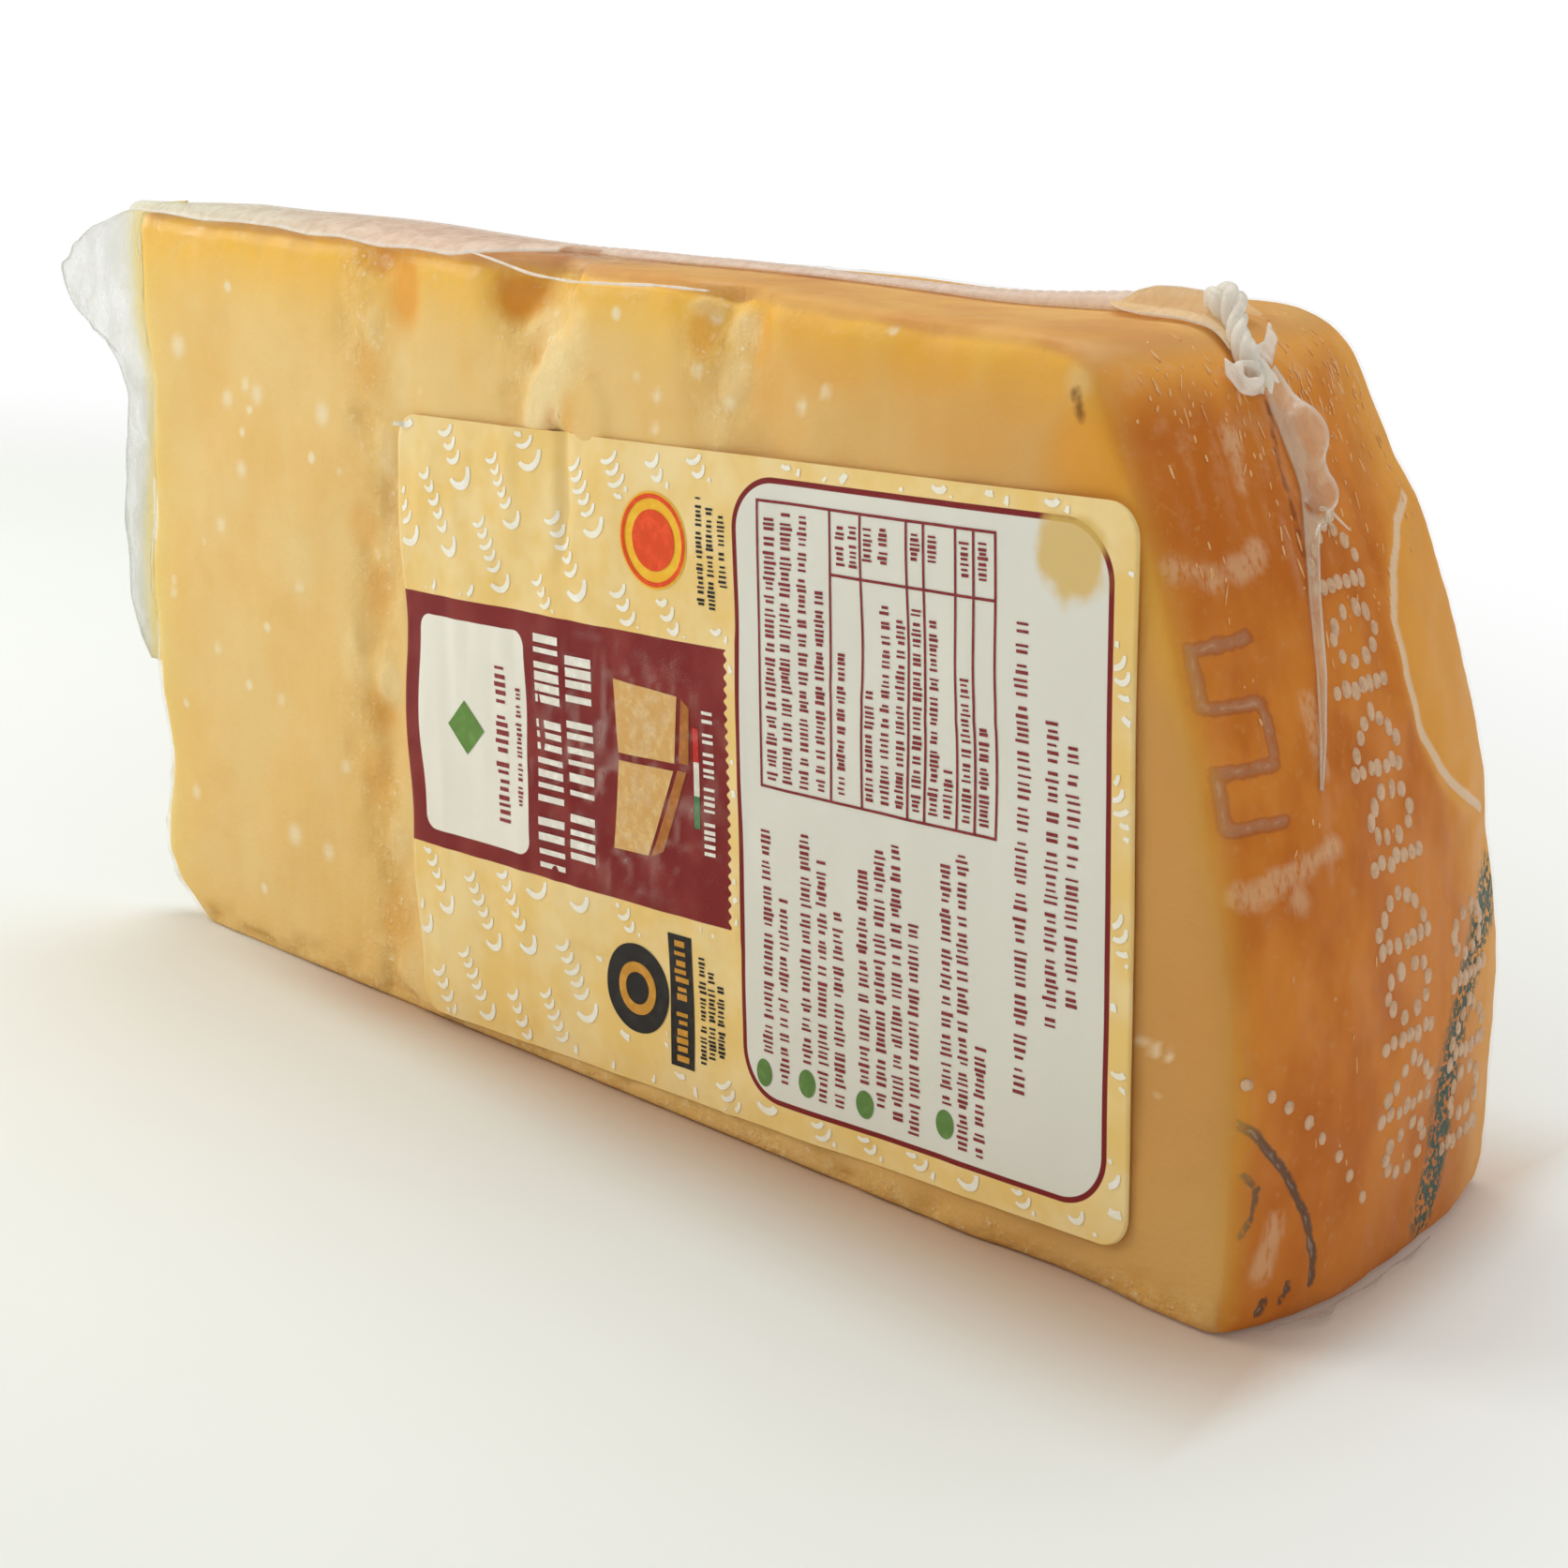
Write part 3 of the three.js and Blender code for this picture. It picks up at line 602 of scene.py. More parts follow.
class Recipe(Nodes):
    """One material's nodes."""

    def __init__(self, name):
        self.material = bpy.data.materials.new(name)
        self.material.use_nodes = True
        super().__init__(self.material.node_tree)
        self.place = self.node("ShaderNodeTexCoord", output="Object")

    def attribute(self, name):
        return self.node("ShaderNodeAttribute", output="Fac", attribute_name=name)

    def between(self, value, low, high, start=0.0, end=1.0):
        """Runs smoothly from start to end as value goes from low to high."""
        sockets = {"Value": value, "From Min": low, "From Max": high, "To Min": start,
                   "To Max": end}
        return self.node("ShaderNodeMapRange", sockets, interpolation_type="SMOOTHSTEP",
                         clamp=True)

    def noise(self, size_mm, detail, roughness, squeeze=None, distortion=0.0):
        """Clouds about this many millimetres across, squeezed along the axes if given."""
        place = self.place
        if squeeze is not None:
            place = self.node("ShaderNodeMapping", {"Vector": place, "Scale": squeeze})
        sockets = {"Vector": place, "Scale": 1 / (size_mm * MM), "Detail": detail,
                   "Roughness": roughness, "Distortion": distortion}
        return self.node("ShaderNodeTexNoise", sockets, "Fac")

    def cells(self, size_mm):
        """Distance from the middle of the nearest of many small cells."""
        sockets = {"Vector": self.place, "Scale": 1 / (size_mm * MM)}
        return self.node("ShaderNodeTexVoronoi", sockets, "Distance")

    def painted(self, base, *layers):
        """A colour with others laid over it in turn, each given as (amount, colour)."""
        for amount, tint in layers:
            base = self.node("ShaderNodeMix", {0: amount, 6: base, 7: tint}, 2,
                             data_type="RGBA")
        return base

    def relief(self, height, distance_mm, strength=1.0, normal=None):
        sockets = {"Height": height, "Distance": distance_mm * MM, "Strength": strength}
        if normal is not None:
            sockets["Normal"] = normal
        return self.node("ShaderNodeBump", sockets)

    def surface(self, base, roughness, specular, normal=None):
        sockets = {"Base Color": base, "Roughness": roughness, "Specular IOR Level": specular}
        if normal is not None:
            sockets["Normal"] = normal
        return self.node("ShaderNodeBsdfPrincipled", sockets)

    def finish(self, shader):
        self.node("ShaderNodeOutputMaterial", {"Surface": shader})
        return self.material


# ---- materials ----------------------------------------------------------------------------


# colours of the cut face, some of them painted light and shade (the thin end's glow, the darker
# rind end, the shade in a slit), and of its crumbs
CLOUDED = (0.76, 0.44, 0.14)
THIN_END_GLOW = (0.86, 0.66, 0.16)
FAR_BROWN_AND_SHADE = (0.58, 0.255, 0.055)
BY_RIND_BROWN = (0.70, 0.33, 0.07)
PIT_AMBER = (0.72, 0.38, 0.07)
CRUMB_PALE, CRUMB_TAN = (0.92, 0.72, 0.34), (0.76, 0.46, 0.12)
AMBER, CREAM = (0.80, 0.34, 0.035), (0.94, 0.76, 0.40)
FLECK, CRYSTAL = (0.95, 0.86, 0.62), (0.93, 0.84, 0.60)
SLIT_SHADE = (0.20, 0.075, 0.02)
# of the rind and of what is pressed, drawn or rubbed on it, with the shadow, highlight and glints
# painted on it
MOTTLED, CHALK_AND_GLINT = (0.68, 0.36, 0.13), (0.82, 0.56, 0.34)
STAMP_RIM, STAMP_CORE = (0.38, 0.11, 0.045), (0.70, 0.44, 0.28)
INK_BLACK, INK_HIGHLIGHT = (0.10, 0.075, 0.06), (0.48, 0.40, 0.32)
FLAP_SHADOW_BROWN, GROOVE_PALE = (0.22, 0.05, 0.012), (0.86, 0.66, 0.46)
STREAK_GREEN, EDGE_AMBER = (0.012, 0.09, 0.075), (0.80, 0.42, 0.07)
# of the flat side
FLAT_BROWN, FLAT_TAN = (0.68, 0.32, 0.09), (0.78, 0.44, 0.13)


def cheese_material(settings):
    """Cut faces, rind and flat side, each point's share of them stored in the mesh."""
    r = Recipe("cheese")
    crumb = r.attribute("crumb")
    broad = r.noise(16, 3, 0.55)
    cloudy = r.noise(5, 3, 0.6)
    streaks = r.noise(2.2, 2, 0.5, (1, 1, 0.06))
    fine = r.noise(0.9, 2, 0.6)
    patches = r.noise(12, 3, 0.6, (1, 1, 0.6))
    mottle = r.noise(1.1, 2, 0.6)
    frayed = r.noise(1.4, 2, 0.6) - 0.5

    # the cut faces, their broken places and the small white crystals under the surface
    crumbs = r.painted(CRUMB_PALE, (r.between(r.cells(2.2), 0.2, 0.6), CRUMB_TAN))
    crystals = r.between(r.cells(7.5), 0.16, 0.06) * r.between(r.noise(9, 1, 0.5), 0.5, 0.6)
    crystals = r.math("MAXIMUM", crystals, r.attribute("crystal"))
    cut = r.painted(
        settings.straw,
        (r.between(broad, 0.3, 0.7, 0.5, 1.0), settings.pale),
        (r.between(streaks, 0.45, 0.75, 0, 0.35), settings.pale),
        (r.between(cloudy, 0.5, 0.75, 0, 0.14), CLOUDED),
        # painted light: the thin end glows yellow as if lit through
        (r.attribute("thin_end") * 0.75, THIN_END_GLOW),
        # browner towards the rind end: partly the paste's own colour, partly painted shade
        (r.attribute("dim") * 0.8, FAR_BROWN_AND_SHADE),
        (r.attribute("rindward") * r.between(cloudy, 0.2, 0.7, 0.75, 1.0), settings.band),
        (r.attribute("by_rind") * 0.6, BY_RIND_BROWN),
        (r.attribute("pit") * 0.4, PIT_AMBER),
        (crumb * 0.45, crumbs),
        (r.attribute("amber"), AMBER),
        (r.attribute("cream"), CREAM),
        (r.between(fine, 0.6, 0.72) * crumb, FLECK),
        (crystals * 0.7, CRYSTAL),
        # a slit, painted dark as the shade inside it
        (r.between(r.attribute("tick_gap") + fine * 0.9, 1.5, 0.5, 0, 0.8), SLIT_SHADE))

    # the rind, its lines with frayed edges, each from the outside in
    chalky = r.between(r.noise(0.8, 2, 0.6, (1, 1, 0.35)), 0.25, 0.55)
    stamp = r.attribute("stamp_gap") + frayed * 0.9
    ink = r.attribute("ink_gap") + frayed * 0.7
    # painted shadow in a thin line beside the flap's root
    crease = r.attribute("crease_gap") + r.math("MULTIPLY_ADD", frayed, 1.4, 0.7)
    streak = r.attribute("green_gap") + r.noise(3, 2, 0.6) * 3.4
    shell = r.painted(
        settings.rind,
        (r.between(patches, 0.35, 0.7), settings.rind_dark),
        (r.attribute("rind_shade"), settings.rind_dark),
        # lighter on the raised plate, its own colour; lighter towards the flat side, painted
        # light from above
        (r.attribute("rind_glow"), settings.rind_light),
        (r.between(mottle, 0.55, 0.8, 0, 0.35), MOTTLED),
        # pale smears and specks: partly rubbed on, partly painted glints of the film
        (r.attribute("scurf") * chalky, CHALK_AND_GLINT),
        (r.between(stamp, 1.0, 0.75, 0, 0.55), STAMP_RIM),
        (r.between(stamp, 0.65, 0.4, 0, 0.6), settings.stamp),
        (r.between(stamp, 0.3, 0.0, 0, 0.45), STAMP_CORE),
        (r.between(ink, 0.75, 0.4, 0, 0.85), INK_BLACK),
        # paler along the middle of the drawn lines: painted highlight
        (r.between(ink, 0.25, 0.05, 0, 0.5), INK_HIGHLIGHT),
        (r.between(crease, 1.5, 0.8, 0, 0.75), FLAP_SHADOW_BROWN),
        (r.between(r.attribute("groove_gap"), 0.8, 0.4, 0, 0.9), GROOVE_PALE),
        (r.between(streak, 6.4, 3.8, 0, 0.95) * r.between(fine, 0.42, 0.5), STREAK_GREEN),
        (r.attribute("edge_glow"), EDGE_AMBER))
    flat = r.painted(FLAT_BROWN, (r.between(patches, 0.3, 0.7), FLAT_TAN))

    base = r.painted(cut, (r.attribute("rind"), shell), (r.attribute("flat_side"), flat))
    grain = fine * r.math("MULTIPLY_ADD", crumb, 4.0, 0.6)
    normal = r.relief(r.math("MULTIPLY_ADD", mottle, 0.4, grain), 0.1)
    return r.finish(r.surface(base, r.between(cloudy, 0.3, 0.7, 0.42, 0.58), 0.07, normal))


def rounded_box(r, u, v, centre, half, corner):
    """Distance from a rounded rectangle's outline, negative inside."""
    across = abs(u - centre[0]) - (half[0] - corner)
    up = abs(v - centre[1]) - (half[1] - corner)
    outside = r.math("SQRT", r.math("MAXIMUM", across) ** 2.0 + r.math("MAXIMUM", up) ** 2.0)
    return outside + r.math("MINIMUM", r.math("MAXIMUM", across, up)) - corner


# the label's fields, in its own millimetres from its lower left corner: centre, half size
RED_PANEL = ((32.0, 42.75), (33.0, 18.0))
CREAM_PANEL = ((14.6, 42.5), (11.4, 15.4))
WHITE_PANEL = ((96.4, 43.2), (29.2, 39.2))
FIELD_EDGE = (0.06, -0.06)       # how sharply a printed field begins
RULE_EDGE = (0.42, 0.3)          # and the line round the white panel
FAT_STAIN = (120.3, 78.2)
PAPER_LIGHT, RED_LIGHT = (0.95, 0.74, 0.36), (0.38, 0.07, 0.055)
PANEL_CREAM, FAT_BROWN = (0.90, 0.88, 0.78), (0.74, 0.50, 0.13)


def label_material(settings):
    """The label's large printed fields; smaller marks are pieces of their own."""
    r = Recipe("label_paper")
    uv = r.axes(r.node("ShaderNodeUVMap", uv_map="label"))
    u, v = uv[0] * LABEL_WIDTH, uv[1] * LABEL_WIDTH

    # the right edge of the red panel is cut in small teeth
    teeth = r.math("SINE", v * 4.2) * 0.28 * r.between(u, 40, 60)
    red = rounded_box(r, u + teeth, v, *RED_PANEL, 0.1)
    red_ink = r.painted(settings.panel_red, (r.between(r.noise(7, 2, 0.5), 0.4, 0.75, 0, 0.35),
                                             RED_LIGHT))
    panel = rounded_box(r, u, v, *WHITE_PANEL, 6.5)
    # fat has soaked into one corner
    soaked = r.math("SQRT", (u - FAT_STAIN[0]) ** 2.0 + (v - FAT_STAIN[1]) ** 2.0)
    soaked = soaked + (r.noise(5, 2, 0.5) - 0.5) * 5.0
    base = r.painted(
        settings.paper,
        (r.between(r.noise(9, 3, 0.6), 0.35, 0.7), PAPER_LIGHT),
        (r.between(red, *FIELD_EDGE), red_ink),
        (r.between(rounded_box(r, u, v, *CREAM_PANEL, 2.2), *FIELD_EDGE), PANEL_CREAM),
        (r.between(panel, *FIELD_EDGE), settings.panel_white),
        (r.between(abs(panel), *RULE_EDGE), settings.panel_red),
        (r.between(soaked, 5.8, 3.8, 0, 0.85), FAT_BROWN))

    fibres = r.noise(0.5, 3, 0.6)
    normal = r.relief(r.noise(2.5, 2, 0.5), 0.12, 0.5, r.relief(fibres, 0.05, 0.35))
    return r.finish(r.surface(base, r.between(fibres, 0.3, 0.7, 0.42, 0.56), 0.12, normal))


def ink_material(name, ink, other=None):
    """A printed ink: slightly uneven, as where a dry screen has laid it."""
    r = Recipe(name)
    uneven = r.noise(1.2, 3, 0.65)
    other = other or tuple(min(1, c * 1.25 + 0.02) for c in ink)
    base = r.painted(ink, (r.between(uneven, 0.4, 0.75), other))
    return r.finish(r.surface(base, r.between(uneven, 0.3, 0.7, 0.4, 0.55), 0.12))


FILM_PALE = (0.95, 0.93, 0.88)
FILM_CLEAR = (0.99, 0.99, 0.985)
PEARL = (0.70, 0.71, 0.67)
FILM_ROOT = (0.97, 0.86, 0.42)   # the cheese's colour, shining into film that leaves it
FILM_IOR = 1.4


def film_material(name, milk, tint, tight=False, bright=FILM_PALE, gleam=0.5, fade=None):
    """Clear plastic that mirrors at a glance, milky in streaks and bright along its edges.

    Tight film shows only where it has come loose from what it covers. fade gives an axis, two
    places on it in millimetres and the tint that the film takes on from one to the other.
    """
    r = Recipe(name)
    if fade is not None:
        axis, start, end, other = fade
        start, end = (start + AXLE[axis]) * MM, (end + AXLE[axis]) * MM
        tint = r.painted(tint, (r.between(r.axes(r.place)[axis], start, end), other))
    normal = r.relief(r.noise(5.0, 2, 0.5, (1, 1, 0.45)), 0.5, 0.25)
    if not tight:
        normal = r.relief(r.noise(1.3, 2, 0.5), 0.05, 0.2, normal)
    glance = r.node("ShaderNodeFresnel", {"IOR": FILM_IOR, "Normal": normal}) * gleam
    veins = r.noise(3.2, 2, 0.5, (1, 1, 0.5), distortion=0 if tight else 0.5)
    amount = r.between(veins, 0.3, 0.75, milk * 0.6, milk * 1.4)
    rim, root = r.attribute("rim"), r.attribute("root")
    if tight:
        loose = r.attribute("loose")
        glance = glance * r.math("MULTIPLY_ADD", loose, 0.85, 0.1)
        amount = amount * loose
    amount = r.math("ADD", amount, rim * 0.4, clamp=True)
    amount = r.math("ADD", amount, root * 0.55, clamp=True)
    colour_here = r.painted(tint, (rim, bright), (root, FILM_ROOT))
    clear = r.mixed_shader(
        glance, r.node("ShaderNodeBsdfTransparent", {"Color": FILM_CLEAR}),
        r.node("ShaderNodeBsdfGlossy", {"Color": (1, 1, 1), "Roughness": 0.2,
                                        "Normal": normal}))
    milky = r.mixed_shader(0.5, r.surface(colour_here, 0.35, 0.3, normal),
                           r.node("ShaderNodeBsdfTranslucent", {"Color": colour_here}))
    return r.finish(r.mixed_shader(amount, clear, milky))


def floor_material(settings):
    """A pale cloth-coloured floor, with a painted contact shadow beside the object, that turns
    plain white away from it.
    """
    r = Recipe("floor")
    pale = tuple(settings.floor)
    # painted contact shadow: a warm shade, coloured by light bounced off the cheese, on the floor
    # close beside it
    from_axle = r.vector("SUBTRACT", r.place, AXLE * MM)
    to_axle = r.vector("LENGTH", from_axle, (0, 0, 0), "Value")
    beside = (to_axle - WHEEL_RADIUS * MM) * 3
    for outward in ((0, -1, 0), (-1, 0, 0), FAR_OUT):
        beside = r.math("MAXIMUM", beside, r.vector("DOT_PRODUCT", from_axle, outward, "Value"))
    reach = r.between(to_axle, 0.0, WHEEL_RADIUS * MM, *SHADOW_REACH)
    tinted = r.between(beside / reach, 1.0, -0.2) * r.between(to_axle, *SHADOW_START)
    base = r.painted(pale, (r.noise(60, 2, 0.5), tuple(min(1, c * 1.02) for c in pale)),
                     (tinted, CONTACT_SHADOW_COLOUR))
    white = r.node("ShaderNodeEmission", {"Color": (1, 1, 1), "Strength": 1.0})
    away = r.vector("DISTANCE", r.place, PALE_MIDDLE, "Value")
    return r.finish(r.mixed_shader(r.between(away, *FLOOR_FADE), r.surface(base, 0.9, 0.1),
                                   white))


# ---- Geometry Nodes: marks that repeat ----------------------------------------------------

DRAPE_FROM = 0.02                # metres in front of the paper that draped marks start
DRAPE_REACH = 0.05               # and how far they look for it
DOME_RINGS = ((0.5, -0.5), (0.5, 0.0), (0.36, 0.32), (0.16, 0.48))      # radius, height


def points_mesh(name, points, sizes, turns):
    """Bare points that carry the size and turn of the mark that stands on each."""
    mesh = bpy.data.meshes.new(name)
    mesh.from_pydata(to_frame(points), [], [])
    for key, values in (("mark_size", np.asarray(sizes, float) * MM),
                        ("mark_turn", np.asarray(turns, float))):
        layer = mesh.attributes.new(key, "FLOAT_VECTOR", "POINT")
        layer.data.foreach_set("vector", values.astype(np.float32).ravel())
    return mesh


def marks_tree(name, draped):
    """One mark on each point; draped marks are then laid on the surface behind them."""
    tree = bpy.data.node_groups.new(name, "GeometryNodeTree")
    for key, kind in (("Geometry", "Geometry"), ("Mark", "Object"), ("Surface", "Object"),
                      ("Lift", "Float"), ("Finish", "Material")):
        tree.interface.new_socket(key, in_out="INPUT", socket_type="NodeSocket" + kind)
    tree.interface.new_socket("Geometry", in_out="OUTPUT", socket_type="NodeSocketGeometry")
    n = Nodes(tree)
    given = n.node("NodeGroupInput")
    size, turn = (n.node("GeometryNodeInputNamedAttribute", {"Name": key}, "Attribute",
                         data_type="FLOAT_VECTOR") for key in ("mark_size", "mark_turn"))
    laid = n.node("GeometryNodeInstanceOnPoints", {
        "Points": given["Geometry"],
        "Instance": n.node("GeometryNodeObjectInfo", {"Object": given["Mark"]}, "Geometry"),
        "Rotation": n.node("FunctionNodeEulerToRotation", {0: turn}),
        "Scale": size,
    })
    laid = n.node("GeometryNodeRealizeInstances", {0: laid})
    if draped:
        hit = n.node("GeometryNodeRaycast", {
            "Target Geometry": n.node("GeometryNodeObjectInfo", {"Object": given["Surface"]},
                                      "Geometry"),
            "Source Position": n.vector("ADD", n.node("GeometryNodeInputPosition"),
                                        (0, -DRAPE_FROM, 0)),
            "Ray Direction": (0, 1, 0),
            "Ray Length": DRAPE_REACH,
        }, "Is Hit")
        laid = n.node("GeometryNodeSetPosition", {
            "Geometry": laid, "Selection": hit, "Position": hit["Hit Position"],
            "Offset": n.node("ShaderNodeCombineXYZ", {"Y": given["Lift"] * -1}),
        })
    laid = n.node("GeometryNodeSetMaterial", {"Geometry": laid, "Material": given["Finish"]})
    n.node("NodeGroupOutput", {"Geometry": laid})
    return tree


def marked(name, points, mark, material, surface=None, lift=0.0, keep=None):
    """Runs the marks tree over bare points and shows its plain mesh as a piece.

    keep, if given, says which points of the laid marks stay. The mark's own object goes.
    """
    tree = marks_tree(name + "_tree", surface is not None)
    carrier = placed(name + "_points", points)
    modifier = carrier.modifiers.new("marks", "NODES")
    modifier.node_group = tree
    keys = {s.name: s.identifier for s in tree.interface.items_tree
            if s.item_type == "SOCKET" and s.in_out == "INPUT"}
    for key, value in (("Mark", mark), ("Surface", surface), ("Lift", lift),
                       ("Finish", material)):
        modifier[keys[key]] = value
    mesh = evaluated_mesh(carrier)
    bpy.data.objects.remove(mark)
    for key in ("mark_size", "mark_turn"):
        if key in mesh.attributes:
            mesh.attributes.remove(mesh.attributes[key])
    if keep is not None:
        stays = keep(read_points(mesh))
        with opened(mesh) as work:
            gone = [face for face in work.faces if not all(stays[v.index] for v in face.verts)]
            bmesh.ops.delete(work, geom=gone, context="FACES")
    return show(name, mesh, material)


def mark_object(name, points, faces):
    mesh = bpy.data.meshes.new(name)
    mesh.from_pydata(points, [], faces)
    return placed(name, mesh)


def bar_mark(rows):
    """A flat bar of unit size, with enough cross lines to follow the paper."""
    u, v = np.meshgrid(np.linspace(-0.5, 0.5, 2), np.linspace(-0.5, 0.5, rows))
    points = np.stack([u.ravel(), v.ravel(), 0 * u.ravel()], -1)
    return mark_object("bar_mark", points, grid_faces(rows, 2).tolist())


def dome_mark(sides=10):
    """A low oval lump of unit size, closed underneath."""
    turns = [2 * math.pi * i / sides for i in range(sides)]
    points = [(radius * math.cos(turn), radius * math.sin(turn), height)
              for radius, height in DOME_RINGS for turn in turns]
    last = (len(DOME_RINGS) - 1) * sides
    faces = [(r + i, r + (i + 1) % sides, r + sides + (i + 1) % sides, r + sides + i)
             for r in range(0, last, sides) for i in range(sides)]
    faces.append(tuple(range(sides))[::-1])
    faces.append(tuple(range(last, last + sides)))
    return mark_object("dome_mark", points, faces)


def arcs_mark(count=5, pitch=1.75, high=1.25, last=2.3, steps=14):
    """A row of small pen arcs that ends in one large arc, in millimetres, drawn flat."""
    points, faces = [], []
    turn = np.linspace(-1.25, 1.25, steps)
    for i in range(count + 1):
        tall = high if i < count else last
        start = pitch * i + (0.9 if i == count else 0)
        u = start + tall * (np.cos(turn) - 0.6)
        v = tall * np.sin(turn) * (1 + 0.12 * (-1) ** i)
        half = (0.16 + 0.2 * np.cos(turn)) * (1.35 if i == count else 1)
        across = np.stack([np.cos(turn), np.sin(turn)], -1) * half[:, None]
        line = np.stack([u, v], -1)
        first = len(points)
        points += np.concatenate([line - across, line + across]).tolist()
        faces += [(first + j, first + j + 1, first + steps + j + 1, first + steps + j)
                  for j in range(steps - 1)]
    return mark_object("arcs_mark", [(u, v, 0) for u, v in points], faces)


# ---- the cheese ---------------------------------------------------------------------------

CRYSTALS = (                     # x, z, size across
    (15, 90, 3.2), (27, 83.5, 2.4), (35, 85, 2.6), (51, 84, 3.0), (30.5, 73.5, 2.2),
    (24.7, 64.4, 2.0), (15, 21, 2.2), (41, 20, 3.0), (49, 19, 2.4), (32, 86, 1.8),
    (94, 3.4, 2.0), (200.6, 31.9, 1.2), (202.6, 31.3, 1.5), (204.4, 31.1, 1.1),
    (121, 94.3, 1.6), (120.8, 90.2, 1.4), (132.9, 94.7, 1.5), (146, 95.8, 1.7),
    (129.5, 104.4, 1.4), (127.7, 98.1, 1.6), (22, 45, 1.6), (44, 58, 1.5), (54, 33, 1.8),
    (11, 52, 1.6), (38, 40, 1.4), (150, 98, 1.5),
)
CREAM_SPOTS = (                  # x, z, half width, half height, strength
    (98, 100, 4.5, 3.5, 0.5), (102, 96.5, 5, 4.5, 0.95), (100.4, 92.6, 4.8, 4.6, 1.0),
    (97.6, 88, 3.2, 4.4, 1.0), (104.5, 99.5, 5, 5, 0.5), (102, 104, 4, 2.5, 0.4),
    (64.5, 80, 2.2, 4.5, 0.5), (64, 47, 3, 4, 0.75), (56.4, 50, 3, 4.5, 0.35),
    (65, 24, 2.5, 4.5, 0.45), (69, 91, 2.5, 5, 0.35), (62.8, 97, 2, 3, 0.4),
    (76, 5, 14, 5, 0.3), (112, 5, 18, 4, 0.25), (134, 103, 3, 3.4, 0.7),
    (133.5, 98, 3, 5, 0.6), (128.5, 106, 3, 1.6, 0.5), (131, 92, 3, 5, 0.35),
    (187.8, 103.5, 2, 2.5, 0.4), (44, 60, 4, 6, 0.2),
)
AMBER_SPOTS = (                  # the same
    (92, 104, 4.2, 3.2, 0.85), (69.5, 103, 4.2, 6, 0.75), (63.5, 106.5, 5, 2.5, 0.5),
    (104.6, 90.6, 2.2, 4, 0.35), (128, 103, 2.2, 4, 0.5), (137.5, 103, 4, 5, 0.45),
    (61.5, 92, 3, 4, 0.3), (59.2, 69, 3.4, 4, 0.35), (61.5, 60, 3, 5, 0.35),
    (61.5, 43, 3, 4, 0.35), (64.5, 12, 3.4, 5, 0.35), (60.5, 33, 3, 5, 0.3),
    (96.5, 97.5, 1.6, 3, 0.35), (146, 105, 6, 3, 0.35), (139, 99, 5, 6, 0.3),
    (190, 95, 8, 7, 0.65), (150, 102, 9, 5, 0.35), (166, 103, 9, 5, 0.4),
    (180, 102, 7, 6, 0.35), (172, 97, 9, 6, 0.2),
)
TICK = ((187.4, 102.2), (188.2, 99.4))           # a slit in the near face, painted dark as the shade inside it: x, z
# broken places in the near face: x, z, half width, half height
BITE, NICK, FILL = (99, 101, 15, 22), (132, 101, 10, 17), (104, 90.5, 9, 7)
FILL_HEIGHT = 3.2
FAR_BITE = (150, HEIGHT, 16, 22)
# crumbly columns: place along the face, half width, how far and how fast they wander
COLUMN, FAR_COLUMN = (61.8, 8.5, 1.6, 9, 0), (88, 10, 3, 13, 1)
# lines in the rind: places round it and heights
MEANDER = ((11.2, 76.8), (2.6, 76.2), (2.4, 70.2), (11, 70), (11, 63.6), (2.6, 63.4),
           (2.6, 57.4), (10.6, 57.6))
ARC = ((0.6, 26), (2.7, 24.6), (7.7, 18.6), (10.8, 12.9), (12.4, 7.9), (12.3, 4.5))
HOOK = ((2.0, 19.6), (3.6, 17.8), (3.3, 14.7), (2.0, 12.2))
TICKS = (((4.9, 2.6), (5.7, 4.2)), ((8, 3.4), (8.9, 5.4)))
OVAL_GROOVE = ((55.8, 86.7), (50, 84.4), (45.3, 80.3), (41.6, 74.6), (40.6, 68), (42, 61.4),
               (44.9, 56.9), (49.5, 53.2), (57.8, 49.3))
GREEN_STRIP = ((58.7, 40), (51, 34), (45.3, 27.7), (41.8, 20.6), (40.6, 12.6), (37.9, 5.2))
SMEARS = (((3, 50.4), (9, 51.6), (17.5, 53.8)), ((10, 48.2), (10.3, 49.4)),
          ((5, 8), (6.2, 13.5)), ((3, 84.4), (8, 83.6)), ((11.5, 83.6), (17, 85.2)),
          ((16.6, 92), (17.2, 94.5), (18, 97.5)), ((18.6, 62), (17.9, 69)))
# painted shadow beside the flap's root: places round the rind and heights
FLAP_SHADOW_PATH = ((28, 99.2), (27, 96.8), (25.9, 94.4), (25.5, 91.9), (25.6, 90.3), (25, 87.4),
               (24.3, 84))
PLATE = (58, 68, 18, 20)         # the raised oval inside the groove: middle, half size
RIND_SHADE = (12, 90, 24, 20)    # the rind's darkest stretch, the same


def gap_on_rind(form, *paths):
    """Distance from drawn lines, for points on the rind, in millimetres."""
    flat = np.stack([form.round, form.z], -1)
    gap = np.min([line_distance(flat, path) for path in paths], axis=0)
    return np.where(form.rind > 0.2, gap, NOWHERE)


def spots(form, places):
    """The strongest of several soft-edged ovals on the near face, for each point."""
    strongest = np.zeros(len(form.x))
    for x, z, half_width, half_height, strength in places:
        oval = bump(form.x, form.z, x, z, 1.3 * half_width, 1.3 * half_height)
        strongest = np.maximum(strongest, strength * np.clip(1.5 * oval, 0, 1))
    return strongest * form.near


def crumbly_column(along, z, middle, half_width, wander, wave, start):
    """A band up a cut face that winds slowly from side to side."""
    return bump(along, 0, middle + wander * np.sin(z / wave + start), 0, half_width, 1)


